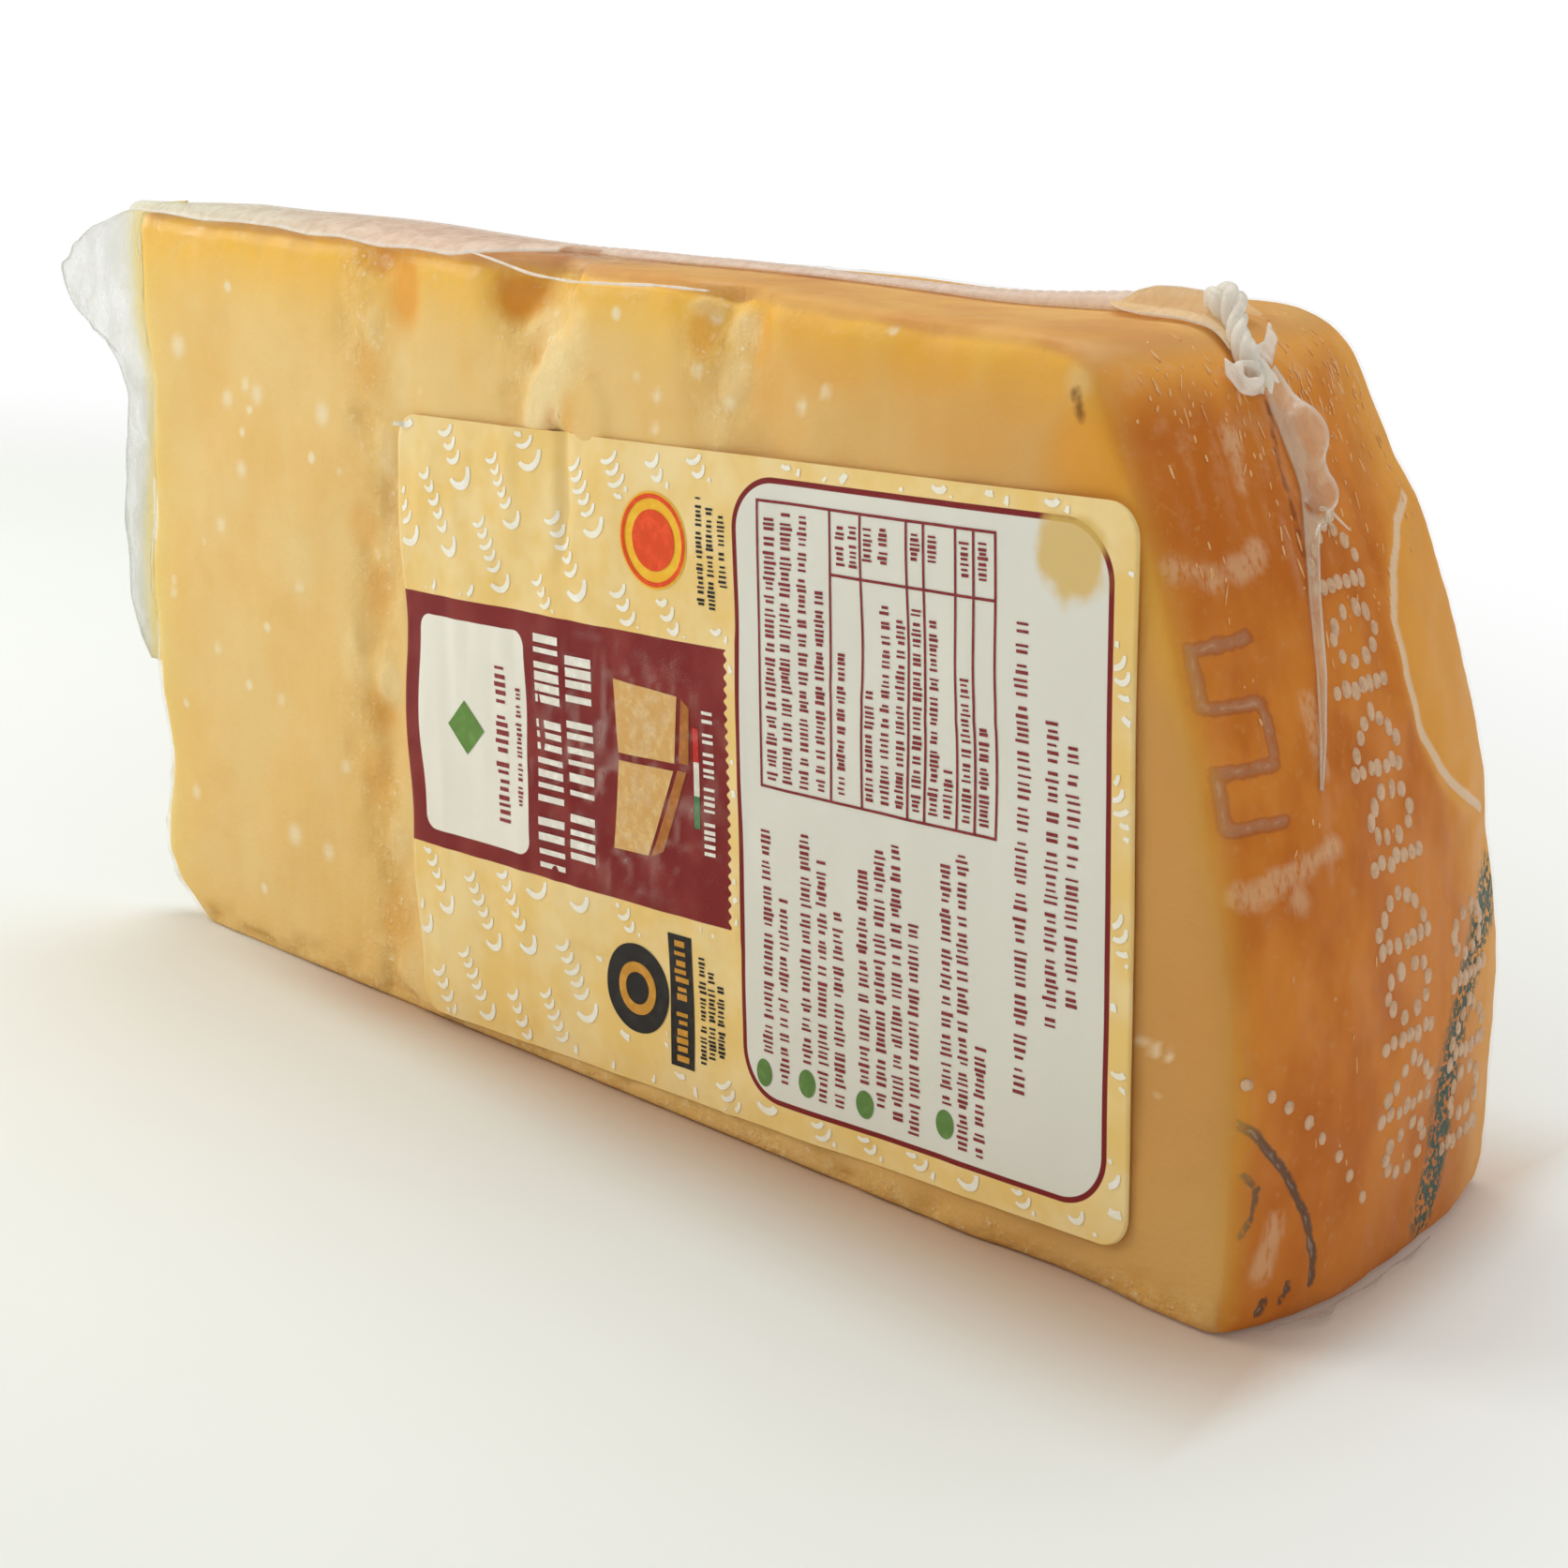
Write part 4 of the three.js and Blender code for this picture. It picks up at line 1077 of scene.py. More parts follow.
def broken_share(form):
    """How broken each point's place is, from 0 to 1."""
    x, z = form.x, form.z
    rims = 0.35 * smooth_step(HEIGHT - 7, HEIGHT - 1, z) + smooth_step(5.5, 0.5, z)
    near = (0.72 * crumbly_column(x, z, *COLUMN) + bump(x, z, *BITE)
            + 0.9 * bump(x, z, *NICK) + rims)
    along = form.points @ np.array([math.cos(WEDGE_ANGLE), math.sin(WEDGE_ANGLE), 0])
    far = 1.2 * crumbly_column(along, z, *FAR_COLUMN) + bump(along, z, *FAR_BITE) + rims
    return np.maximum(np.clip(near, 0, 1) * form.near, np.clip(far, 0, 1) * form.far)


def edge_colours(form, band_width):
    """How far the darker colour of the edge and of the rind reaches into the cut faces."""
    points, x, z = form.points, form.x, form.z
    cut = np.maximum(form.near, form.far)
    width = band_width / MM + 1.6 * lumps(points, (11, 11, 14), 23)
    below = (HEIGHT - z) / (width * (1 + 0.5 * smooth_step(64, 50, x)))
    to_rind = rind_radius(z) - form.radius
    inside = (to_rind - 1.5) / ((0.4 + 0.6 * smooth_step(60, 95, z)) * width)
    nearest = np.minimum(below, inside)
    creep = smooth_step(2.0, 0.2, to_rind + 1.3 * lumps(points, (2.4, 2.4, 5), 27)) * form.near
    return {
        "rindward": cut * np.exp(-np.clip(nearest, 0, 9) ** 2.2),
        "by_rind": cut * np.exp(-np.clip(inside, 0, 9) ** 2) * smooth_step(30, 90, z),
        "rind": np.maximum(form.rind, 0.8 * creep * (z > 1)),
    }


def cut_colours(form):
    """Slow changes of colour over the cut faces, some of them painted light and shade, and what
    is set in the near one.
    """
    x, z = form.x, form.z
    high = 0.25 * smooth_step(60, 100, z) * smooth_step(205, 180, x)
    crystal = np.zeros(len(x))
    for middle_x, middle_z, across in CRYSTALS:
        oval = bump(x, z, middle_x, middle_z, across * 0.8, across * 0.8)
        crystal = np.maximum(crystal, oval)
    tick = line_distance(np.stack([x, z], -1), TICK)
    return {
        "flat_side": form.flat_side * (1 - form.rind),
        # painted light: the thin end glows yellow as if lit through
        "thin_end": np.exp(-((x - TIP_FROM_AXLE) / 6) ** 1.3),
        # browner and darker towards the rind end, less so near the top and at the foot: partly
        # the paste's own colour, partly painted shade
        "dim": smooth_step(100, 205, x) * (1 - high - 0.3 * smooth_step(26, 4, z)),
        "crystal": crystal * form.near,
        "tick_gap": np.where(form.near > 0.2, tick, NOWHERE),
    }


def rind_colours(form):
    """Darker, lighter and chalky places on the rind, some of them painted light, shadow and
    glints.
    """
    points, z, along = form.points, form.z, form.round
    shade = 0.75 * bump(along, z, *RIND_SHADE) + 0.5 * smooth_step(22, 0, z)
    middle_along, middle_z, half_along, half_z = PLATE
    from_plate = np.hypot((along - middle_along) / half_along, (z - middle_z) / half_z)
    # lighter on the raised plate and beyond it round the rind, the rind's own colour; lighter
    # towards the flat side, painted light from above
    light = np.maximum(smooth_step(1.06, 0.94, from_plate) * 0.75,
                       smooth_step(HEIGHT - 12, HEIGHT - 1, z))
    light = np.maximum(light, 0.8 * smooth_step(40, 60, along))
    edge = gap_on_rind(form, *SMEARS) + 0.9 * lumps(points, 2.4, 25)
    scurf = 0.5 * smooth_step(1.9, 0.6, edge)
    # pale specks over the upper rind: partly scuffs, partly painted glints of the film
    upper = smooth_step(78, 100, z) * smooth_step(0.25, 0.7, lumps(points, (1.4, 1.4, 8), 21))
    uneven = 0.75 + 0.25 * lumps(points, 3.5, 26)
    return {
        "rind_shade": form.rind * shade,
        "rind_glow": form.rind * np.clip(light, 0, 1),
        "scurf": form.rind * np.clip(scurf + 0.18 * upper, 0, 1),
        "edge_glow": form.rind * uneven * np.exp(-(along / 2.2) ** 2),
        # painted shadow beside the flap's root
        "crease_gap": gap_on_rind(form, FLAP_SHADOW_PATH),
        "green_gap": gap_on_rind(form, GREEN_STRIP),
    }


def build_cheese(settings):
    """The cheese: its relief, and for each point what its material goes by."""
    form = packed_form()
    mesh = form.mesh.copy()
    points, x, z = form.points, form.x, form.z

    broken = broken_share(form)
    pits = smooth_step(-0.05, 0.55, lumps(points, (4.6, 4.6, 6), 11))
    crags = (0.5 + 0.5 * lumps(points, 3.0, 17)) ** 2 + 0.4 * (0.5 + 0.5 * lumps(points, 1.7, 12))
    cream, amber = spots(form, CREAM_SPOTS), spots(form, AMBER_SPOTS)
    depth = settings.crumb_depth / MM * broken * (0.6 * crags + 1.3 * pits)
    depth += 0.5 * amber - 1.7 * cream ** 1.5 * broken
    depth -= FILL_HEIGHT * bump(x, z, *FILL) * form.near
    cuts_here = form.near + form.far
    depth += cuts_here * 0.05 * (1 + lumps(points, 2.6, 13))
    depth += cuts_here * 0.10 * (1 + lumps(points, (9, 9, 22), 14))

    stamp = gap_on_rind(form, MEANDER)
    ink = np.minimum(gap_on_rind(form, ARC, *TICKS), gap_on_rind(form, HOOK) + 0.2)
    groove = gap_on_rind(form, OVAL_GROOVE)
    pressed = settings.stamp_depth / MM
    depth += pressed * smooth_step(1.2, 0.5, stamp)
    depth += 0.7 * pressed * smooth_step(0.9, 0.3, ink)
    depth += 0.8 * pressed * smooth_step(1.2, 0.3, groove)
    depth += form.rind * 0.06 * (1 + lumps(points, 2.2, 15))
    depth *= smooth_step(0.0, 1.0, z)

    moved = points - form.normals * depth[:, None]
    moved[:, 1] = np.maximum(moved[:, 1], 0)
    write_points(mesh, moved)
    layers = {
        **edge_colours(form, settings.band_width), **cut_colours(form), **rind_colours(form),
        "crumb": broken * np.clip(crags, 0, 1),
        "pit": broken * pits,
        "cream": cream * (0.75 + 0.25 * lumps(points, 2.2, 24)),
        "amber": amber,
        "stamp_gap": stamp,
        "ink_gap": ink,
        "groove_gap": groove,
    }
    for name, values in layers.items():
        store(mesh, name, values)
    return show("cheese_wedge", mesh, cheese_material(settings), ["cheese_in_film"])


def on_rind(form, places):
    """Points on the rind and the turns that lay marks flat on it, long side upright."""
    points, turns = [], []
    for along, z, lean in places:
        point, normal = form.rind_point(along, z)
        across = Vector((0, 0, 1)).cross(normal).normalized()
        up = normal.cross(across)
        lay = Matrix((across, up, normal)).transposed() @ Matrix.Rotation(lean, 3, "Z")
        points.append(point)
        turns.append(tuple(lay.to_euler()))
    return np.array(points), np.array(turns)


# plain dotted ornaments, as offsets along and up the rind
RING = tuple((4.9 * math.cos(i * math.pi / 5), 2.7 * math.sin(i * math.pi / 5))
             for i in range(10))
BAR = tuple((1.9 * i, 0.15 * (-1) ** i) for i in range(-3, 4))
CHEVRON = ((-5.4, -1.8), (-3.8, -0.4), (-2, 0.9), (0, 1.9), (2, 0.9), (3.8, -0.4), (5.4, -1.8))
ORNAMENTS = (                    # shape, then its centre's place round the rind and height
    (CHEVRON, 31, 84.5), (BAR, 30.5, 80), (RING, 31, 74.4), (BAR, 30, 68.9),
    (CHEVRON, 30.6, 64), (BAR, 30, 60), (RING, 31, 54.6), (BAR, 31, 49.4),
    (CHEVRON, 30, 44.2), (BAR, 30.4, 40.3),
    (RING, 30.2, 34.8), (BAR, 30, 29.4), (CHEVRON, 30.8, 24.6), (BAR, 30, 20.6),
    (RING, 30.6, 15.4),
    (RING, 48.4, 37), (BAR, 48.6, 31.6), (CHEVRON, 48.2, 26.4), (BAR, 48, 22.4), (RING, 48, 17),
    (BAR, 47.6, 11.6),
)
DOT_HEIGHT, FLECK_HEIGHT = 0.42, 0.12
ARC_DOTS = 0.75                  # the arc's dots are smaller
DOTTED_ARC = tuple((2.1 + 2.7 * i, 30.3 - 1.55 * i - 0.14 * i * i) for i in range(8))


def build_rind_dots():
    """Rows of small pale dots pressed into the rind."""
    form = packed_form()
    draw = np.random.default_rng(8)
    dots = [(along + a, z + b, 1.0) for shape, along, z in ORNAMENTS for a, b in shape]
    dots += [(along, z, ARC_DOTS) for along, z in DOTTED_ARC]
    places, sizes = [], []
    for along, z, size in dots:
        places.append((along + draw.normal(0, 0.16), z + draw.normal(0, 0.18),
                       draw.normal(0, 0.25)))
        sizes.append((size * draw.uniform(1.5, 2.1), size * draw.uniform(1.7, 2.4),
                      DOT_HEIGHT))
    points, turns = on_rind(form, places)
    pale = ink_material("pressed_dot", (0.74, 0.50, 0.32), (0.56, 0.34, 0.20))
    marked("rind_dots", points_mesh("dots", points, sizes, turns), dome_mark(), pale)


# pale flecks, partly scuffs and partly painted film glints: place round the rind, height, spread
# each way, how many
FLECK_GROUPS = ((9, 101, 4, 3, 12), (15, 103, 3, 4, 18), (21, 99, 2, 6, 24), (13, 97, 5, 5, 10),
                (41, 100, 4, 6, 44), (50, 101, 2.5, 5, 30), (55, 93, 1.2, 8, 24),
                (24, 90, 4, 8, 12), (8, 84, 4, 2, 12), (36, 80, 8, 12, 20), (15, 40, 8, 22, 20),
                (38, 92, 6, 8, 40))
FLECKED = (3, 59, 6, 107.5)    # from and to round the rind, lowest, highest


def build_scratches_and_glints():
    """Short pale scratches and chalky flecks, mostly on the upper rind, some of them painted
    glints of the film.
    """
    form = packed_form()
    draw = np.random.default_rng(19)
    places, sizes = [], []
    for along, z, spread, tall, count in FLECK_GROUPS:
        for _ in range(count):
            a = along + draw.normal(0, spread)
            b = z + draw.normal(0, tall)
            if not (FLECKED[0] < a < FLECKED[1] and FLECKED[2] < b < FLECKED[3]):
                continue
            places.append((a, b, draw.normal(-0.1, 0.22)))
            long = draw.uniform(0.3, 0.9) + 2.4 * draw.uniform(0, 1) ** 4
            sizes.append((draw.uniform(0.16, 0.42), long, FLECK_HEIGHT))
    points, turns = on_rind(form, places)
    pale = ink_material("chalky_scratch", (0.84, 0.50, 0.23), (0.78, 0.38, 0.11))
    marked("rind_scratches", points_mesh("flecks", points, sizes, turns), dome_mark(6), pale)


# ---- the label and its print --------------------------------------------------------------

CORNER_ROWS = (0, 0.08, 0.3, 0.7, 1.2, 1.9, 2.7, 3.4)    # rows of points in a round corner
LABEL_STEP = 0.6                 # from row to row between the corners
LABEL_COLUMNS = 210
PRINT_STEP = 0.7                 # the largest step of a printed patch, to follow the paper


def build_label(settings):
    """The paper, with its round corners and an uneven left edge."""
    surface = label_surface()
    ends = np.array(CORNER_ROWS)
    middle = np.arange(LABEL_CORNER, LABEL_HEIGHT - LABEL_CORNER, LABEL_STEP)
    v = np.concatenate([ends, middle, LABEL_HEIGHT - ends[::-1]])
    from_end = np.minimum(v, LABEL_HEIGHT - v)
    short = np.clip(LABEL_CORNER - from_end, 0, None)
    inset = LABEL_CORNER - np.sqrt(LABEL_CORNER ** 2 - short ** 2)
    t = np.linspace(0, 1, LABEL_COLUMNS)
    u = inset[:, None] + (LABEL_WIDTH - 2 * inset[:, None]) * t
    v = np.repeat(v[:, None], len(t), axis=1)
    # its left edge runs in and out where the film has drawn it
    drawn = 0.5 * np.sin(v / 4.1) + 0.35 * np.sin(v / 8.7 + 1)
    front = surface.front(u + drawn * smooth_step(26, 0, u), v)
    back = front + (0, LABEL_THICKNESS, 0)
    points, faces = closed_sheet(front, back)
    mesh = new_mesh("label_sheet", points, faces.tolist())
    face_outwards(mesh)
    layer = mesh.uv_layers.new(name="label")
    flat_uv = np.stack([u.ravel(), v.ravel()], -1) / LABEL_WIDTH
    per_point = np.concatenate([flat_uv, flat_uv])
    corners = read_all(mesh.loops, "vertex_index", 1, np.int64).ravel()
    layer.data.foreach_set("uv", per_point[corners].astype(np.float32).ravel())
    return show("label_sheet", mesh, label_material(settings), ["paper_label"])


def disc_mesh(name, centre, radius, lift, inner=0.0, squash=1.0, sides=64):
    """A disc or ring laid on the paper."""
    rings = max(2, int((radius - inner) / 0.6) + 1)
    radii = np.linspace(max(inner, 0.02), radius, rings)
    turn = np.linspace(0, 2 * np.pi, sides, endpoint=False)
    turn, reach = np.meshgrid(turn, radii)
    u = centre[0] + reach * np.cos(turn)
    v = centre[1] + squash * reach * np.sin(turn)
    points = label_surface().front(u, v, lift).reshape(-1, 3)
    return new_mesh(name, points, tube_faces(rings, sides).tolist())


def cuts(distance):
    """How many points a printed edge of this length needs."""
    return max(2, int(distance / PRINT_STEP) + 1)


def patch_mesh(name, outline, lift):
    """A four-cornered patch laid on the paper, corners anticlockwise from lower left."""
    a, b, c, d = (np.array(p, float) for p in outline)
    steps = cuts(max(np.linalg.norm(b - a), np.linalg.norm(d - a)))
    s, t = np.meshgrid(np.linspace(0, 1, steps), np.linspace(0, 1, steps))
    s, t = s[..., None], t[..., None]
    flat = (1 - t) * ((1 - s) * a + s * b) + t * ((1 - s) * d + s * c)
    points = label_surface().front(flat[..., 0], flat[..., 1], lift).reshape(-1, 3)
    return new_mesh(name, points, grid_faces(steps, steps).tolist())


def strip_mesh(low, high, lift):
    """An upright or level strip on the paper, from its lower left corner to its upper right."""
    (u0, v0), (u1, v1) = low, high
    wide, tall = cuts(u1 - u0), cuts(v1 - v0)
    u, v = np.meshgrid(np.linspace(u0, u1, wide), np.linspace(v0, v1, tall))
    points = label_surface().front(u, v, lift).reshape(-1, 3)
    return new_mesh("strip", points, grid_faces(tall, wide).tolist())


def joined(name, meshes, material):
    """Several meshes as one printed piece."""
    work = bmesh.new()
    for mesh in meshes:
        work.from_mesh(mesh)
    bmesh.ops.recalc_face_normals(work, faces=work.faces)
    for face in work.faces:
        if face.normal.y > 0:
            face.normal_flip()
    result = bpy.data.meshes.new(name)
    work.to_mesh(result)
    work.free()
    return show(name, result, material)


# rows of words: u, then from and to along the row
TEXT_ROWS = (                    # at the white panel's foot
    (71.8, 10.4, 39.8), (74.7, 7, 31.2), (78.6, 10.6, 40.2), (81.4, 6.2, 37),
    (84.2, 6.2, 31.4), (88.4, 10.4, 38), (91.1, 8, 41), (93.8, 7, 41.2), (96.5, 5.8, 32),
    (101.7, 11, 40.8), (104.3, 6, 41.8), (107, 5.8, 19.6),
)
TABLE_ROWS = (                   # inside the ruled frame, with the height of their letters
    (73.1, 45.8, 78.4, 1.6), (75.8, 45.8, 78.6, 1.6), (78.7, 45.6, 79, 1.3),
    (81.5, 45.8, 70.4, 1.3), (85.0, 46, 63, 1.2), (89.6, 46, 59, 1.2), (92.1, 46, 69.5, 1.2),
    (94.5, 46, 68, 1.2), (97.1, 46, 70, 1.2), (99.7, 46, 69, 1.2), (101.9, 46, 51.5, 1.2),
    (104.7, 46, 62.8, 1.2), (107.3, 46, 57.4, 1.2),
    (85.0, 73.6, 78.6, 1.2), (87.2, 73.6, 78.8, 1.2), (89.6, 74.6, 78.8, 1.2),
    (92.1, 74.6, 78.8, 1.2), (97.1, 75.6, 78.6, 1.2), (99.7, 75.6, 78.6, 1.2),
    (104.7, 74.6, 78.6, 1.2), (107.3, 74.4, 78.8, 1.2),
)
ADDRESS_ROWS = ((113.2, 15.4, 70.4), (117.6, 24.4, 61), (120.6, 27.4, 57.4))
SMALL_ROWS = ((61.0, 66, 79.6), (62.9, 65.6, 78.4), (65.0, 68.6, 77.2), (59.6, 5.8, 20),
              (61.2, 6.8, 18.2), (62.8, 7.4, 17))
# the same with their print: height of the letters, width of a stroke, pitch, unevenness
BODY_PRINT, ADDRESS_PRINT = (1.45, 0.3, 0.68, 0.25), (1.6, 0.3, 0.78, 0.25)
TABLE_PRINT, SMALL_PRINT = (0.28, 0.58, 0.25), (1.05, 0.26, 0.55, 0.25)
RED_INK_ROWS = (*((*row, *BODY_PRINT) for row in TEXT_ROWS),
                *((*row, *TABLE_PRINT) for row in TABLE_ROWS),
                *((*row, *ADDRESS_PRINT) for row in ADDRESS_ROWS))
TITLE_ROWS = ((30.9, 26.6, 58.6, 5.2, 0.85, 1.75, 0), (37.3, 29, 55.6, 5.0, 0.85, 1.75, 0),
              (61.6, 34, 52.4, 1.9, 0.42, 0.9, 0))
CREAM_ROWS = ((20.9, 31.2, 54, 2.3, 0.5, 1.1, 0.25), (24.4, 34, 51, 0.9, 0.3, 0.6, 0.25))
BAR_ROWS = ((55.6, 5.4, 21.4, 2.0, 0.6, 1.15, 0.25),)

TABLE_FRAME = ((71.2, 44.7), (109.2, 79.9))
TABLE_RULES = (83.3, 88.4, 95.8, 98.4, 103.3, 106.0)
DIVIDER = 72.2
RULE_WIDTH = 0.34
PICTURE = (                      # part, ink, the ink's colours, the corners of its patches
    ("face", "picture_straw", ((0.72, 0.42, 0.14), (0.82, 0.58, 0.26)),
     (((43.4, 31.6), (50.2, 31.8), (55.2, 43.8), (44.8, 43.6)),
      ((44.8, 44.6), (55.4, 44.8), (56.2, 53.6), (44.0, 54.2)))),
    ("crust", "picture_crust", ((0.42, 0.15, 0.03), (0.55, 0.22, 0.06)),
     (((50.8, 31.8), (53.0, 32.8), (57.6, 44.0), (56.0, 44.0)),
      ((56.2, 45.0), (58.0, 45.0), (58.4, 52.4), (57.0, 53.4)))),
)
STRIPES_U = (58.9, 59.9)
STRIPES = (                      # colour, ink, lowest, highest
    ("green", (0.05, 0.20, 0.07), 37, 41.2),
    ("cream", (0.76, 0.72, 0.62), 41.2, 45.6),
    ("scarlet", (0.55, 0.03, 0.02), 45.6, 50),
)
LOZENGE = ((9.2, 43), (13.2, 39.2), (17.2, 43), (13.2, 46.8))
SEAL, BLACK_MARK = (52.5, 73.0), (47.0, 13.1)
SEAL_RADII = (6.2, 5.9, 5.3, 3.9)        # of the yellow disc, the red ring and the red disc
BLACK_MARK_RADII = (6.1, 3.6, 2.2)       # of the disc and the ring on it
BLACK_BAR = ((53.4, 4.2), (57.8, 22.2))
GREEN_SPOTS = ((71.0, 7.4), (78.6, 7.8), (88.4, 7.5), (101.4, 8.3))
GREEN_SPOT_RADIUS, GREEN_SPOT_SQUASH = 1.45, 1.25


def print_words(name, rows, seed, ink, label, lift):
    """Rows of short upright strokes that stand for words, reading up the label."""
    draw = np.random.default_rng(seed)
    flat, sizes = [], []
    for u, low, high, tall, stroke, pitch, uneven in rows:
        v = low
        while v < high:
            for _ in range(draw.integers(2, 9)):
                if v > high:
                    break
                size = tall * (1 + uneven * draw.uniform(-1, 1))
                flat.append((u + (tall - size) * draw.uniform(-0.5, 0.5), v))
                sizes.append((size, stroke * draw.uniform(0.8, 1.5), 1))
                v += pitch * draw.uniform(0.85, 1.2)
            v += pitch * 0.9
    flat = np.array(flat)
    points = label_surface().front(flat[:, 0], flat[:, 1], 1.0)
    turns = np.tile((math.pi / 2, -LABEL_TILT, 0), (len(flat), 1))
    marked(name, points_mesh(name, points, sizes, turns), bar_mark(5), ink,
           label, lift)


def build_text(settings, label):
    """Everything printed in dark red: rows of words, the table's frame and its rules."""
    ink = ink_material("dark_red_ink", (0.24, 0.028, 0.03))
    print_words("label_words", RED_INK_ROWS, 5, ink, label, settings.ink_lift)
    (left, bottom), (right, top) = TABLE_FRAME
    rules = [((left, bottom), (right, bottom)), ((left, top), (right, top)),
             ((left, bottom), (left, top)), ((right, bottom), (right, top)),
             ((TABLE_RULES[0], DIVIDER), (right, DIVIDER))]
    rules += [((u, bottom), (u, top)) for u in TABLE_RULES]
    out = 0.5 * RULE_WIDTH
    joined("label_rules", [strip_mesh((u0 - out, v0 - out), (u1 + out, v1 + out),
                                      settings.ink_lift / MM)
                           for (u0, v0), (u1, v1) in rules], ink)


def build_red_panel_print(settings, label):
    """Pale title bars and a plain drawing of a cut cheese on the red panel."""
    lift = settings.ink_lift / MM
    white = ink_material("white_ink", (0.84, 0.80, 0.72))
    print_words("label_title", TITLE_ROWS, 21, white, label, settings.ink_lift)
    for part, name, inks, outlines in PICTURE:
        patches = [patch_mesh(part, outline, lift) for outline in outlines]
        joined("label_picture_" + part, patches, ink_material(name, *inks))
    for name, ink, low, high in STRIPES:
        strip = strip_mesh((STRIPES_U[0], low), (STRIPES_U[1], high), lift)
        joined("label_stripe_" + name, [strip], ink_material("stripe_" + name, ink))


def build_cream_panel_print(settings, label):
    """A plain lozenge and a line of words on the cream panel."""
    green = ink_material("leaf_green", (0.13, 0.27, 0.055))
    joined("label_lozenge", [patch_mesh("lozenge", LOZENGE, settings.ink_lift / MM)], green)
    wine = ink_material("wine_ink", (0.26, 0.035, 0.035))
    print_words("label_cream_words", CREAM_ROWS, 33, wine, label, settings.ink_lift)


def build_seals(settings, label):
    """A plain red and yellow disc, and a black disc over a black bar."""
    lift = settings.ink_lift / MM
    yellow = ink_material("seal_yellow", (0.95, 0.50, 0.03))
    red = ink_material("seal_red", (0.80, 0.075, 0.012))
    black = ink_material("black_ink", (0.022, 0.02, 0.02))
    ochre = ink_material("ochre_ink", (0.62, 0.30, 0.04))
    green = ink_material("spot_green", (0.12, 0.24, 0.06))
    whole, ring, hole, core = SEAL_RADII
    joined("label_seal_yellow", [disc_mesh("disc", SEAL, whole, lift)], yellow)
    joined("label_seal_red", [disc_mesh("ring", SEAL, ring, 2 * lift, inner=hole),
                              disc_mesh("disc", SEAL, core, 2 * lift)], red)
    whole, ring, hole = BLACK_MARK_RADII
    joined("label_black_mark", [disc_mesh("disc", BLACK_MARK, whole, lift),
                                strip_mesh(*BLACK_BAR, lift)], black)
    joined("label_black_mark_inner",
           [disc_mesh("ring", BLACK_MARK, ring, 2 * lift, inner=hole)], ochre)
    print_words("label_bar_words", BAR_ROWS, 41, ochre, label, 2 * settings.ink_lift)
    print_words("label_small_words", [(*row, *SMALL_PRINT) for row in SMALL_ROWS], 42, black,
                label, settings.ink_lift)
    joined("label_green_spots", [disc_mesh("spot", place, GREEN_SPOT_RADIUS, lift, sides=20,
                                           squash=GREEN_SPOT_SQUASH)
                                 for place in GREEN_SPOTS], green)


SCRIPT_LEAN = math.radians(-61)          # the rows of pen strokes run down to the right
SCRIPT_ROWS = 8.2                        # from row to row, measured level
SCRIPT_PITCH = 17.5                      # along a row
SCRIPT_CLEARANCE = (0.4, 0.5)            # from the paper's rim and round the panels
CLEAR_DISCS = ((*SEAL, 7.2), (*BLACK_MARK, 7.0))
CLEAR_BOXES = ((53, 60.5, 3.5, 23), (58.6, 66.8, 4.8, 23), (59.4, 66.6, 63.5, 81))


def build_squiggles(settings, label):
    """Pale pen arcs in slanting rows over the yellow field."""
    draw = np.random.default_rng(77)
    run = np.array([math.cos(SCRIPT_LEAN), math.sin(SCRIPT_LEAN)])
    flat, sizes, turns = [], [], []
    for row in range(-7, 19):
        shift = draw.uniform(0, SCRIPT_PITCH)
        for step in range(-1, 7):
            start = np.array([row * SCRIPT_ROWS, LABEL_HEIGHT + 4])
            u, v = start + run * (step * SCRIPT_PITCH + shift)
            if -8 < u < LABEL_WIDTH + 4 and -2 < v < LABEL_HEIGHT + 14:
                flat.append((u, v))
                long = draw.uniform(0.9, 1.15)
                sizes.append((long, draw.uniform(0.85, 1.15), 1))
                turns.append((math.pi / 2, -LABEL_TILT - SCRIPT_LEAN + draw.normal(0, 0.03), 0))
    flat = np.array(flat)
    x, z = label_surface().place(flat[:, 0], flat[:, 1])
    points = np.stack([x, np.full(len(x), -1.0), z], -1)

    def keep(laid):
        u, v = label_surface().unplace(laid[:, 0], laid[:, 2])
        rim, around = SCRIPT_CLEARANCE
        stays = (u > rim) & (u < LABEL_WIDTH - rim) & (v > rim) & (v < LABEL_HEIGHT - rim)
        for (cu, cv), (hu, hv) in (RED_PANEL, WHITE_PANEL):
            stays &= (np.abs(u - cu) > hu + around) | (np.abs(v - cv) > hv + around)
        for cu, cv, reach in CLEAR_DISCS:
            stays &= np.hypot(u - cu, v - cv) > reach
        for left, right, low, high in CLEAR_BOXES:
            stays &= (u < left) | (u > right) | (v < low) | (v > high)
        return stays

    pale = ink_material("pale_script", (0.97, 0.93, 0.76))
    marked("label_squiggles", points_mesh("squiggles", points, sizes, turns), arcs_mark(), pale,
           label, settings.ink_lift, keep)


# ---- the tight film -----------------------------------------------------------------------

# pleats over the rind: places round it and heights
FILM_PLEATS = (((28, 99.2), (27, 96.8), (25.9, 94.4), (25.4, 91)),
               ((26.4, 100), (25.2, 96), (24.5, 90)), ((26, 90), (25, 85), (24, 80)),
               ((22.6, 79.5), (20.6, 72), (18, 64), (16.4, 57), (15.4, 50)),
               ((30.5, 86), (30, 82)), ((21.5, 88), (21, 80)))
LABEL_MARGIN = 0.7               # how far past the label's rim it holds the film off
TAUTENING = 60                   # rounds of drawing the film straight across hollows
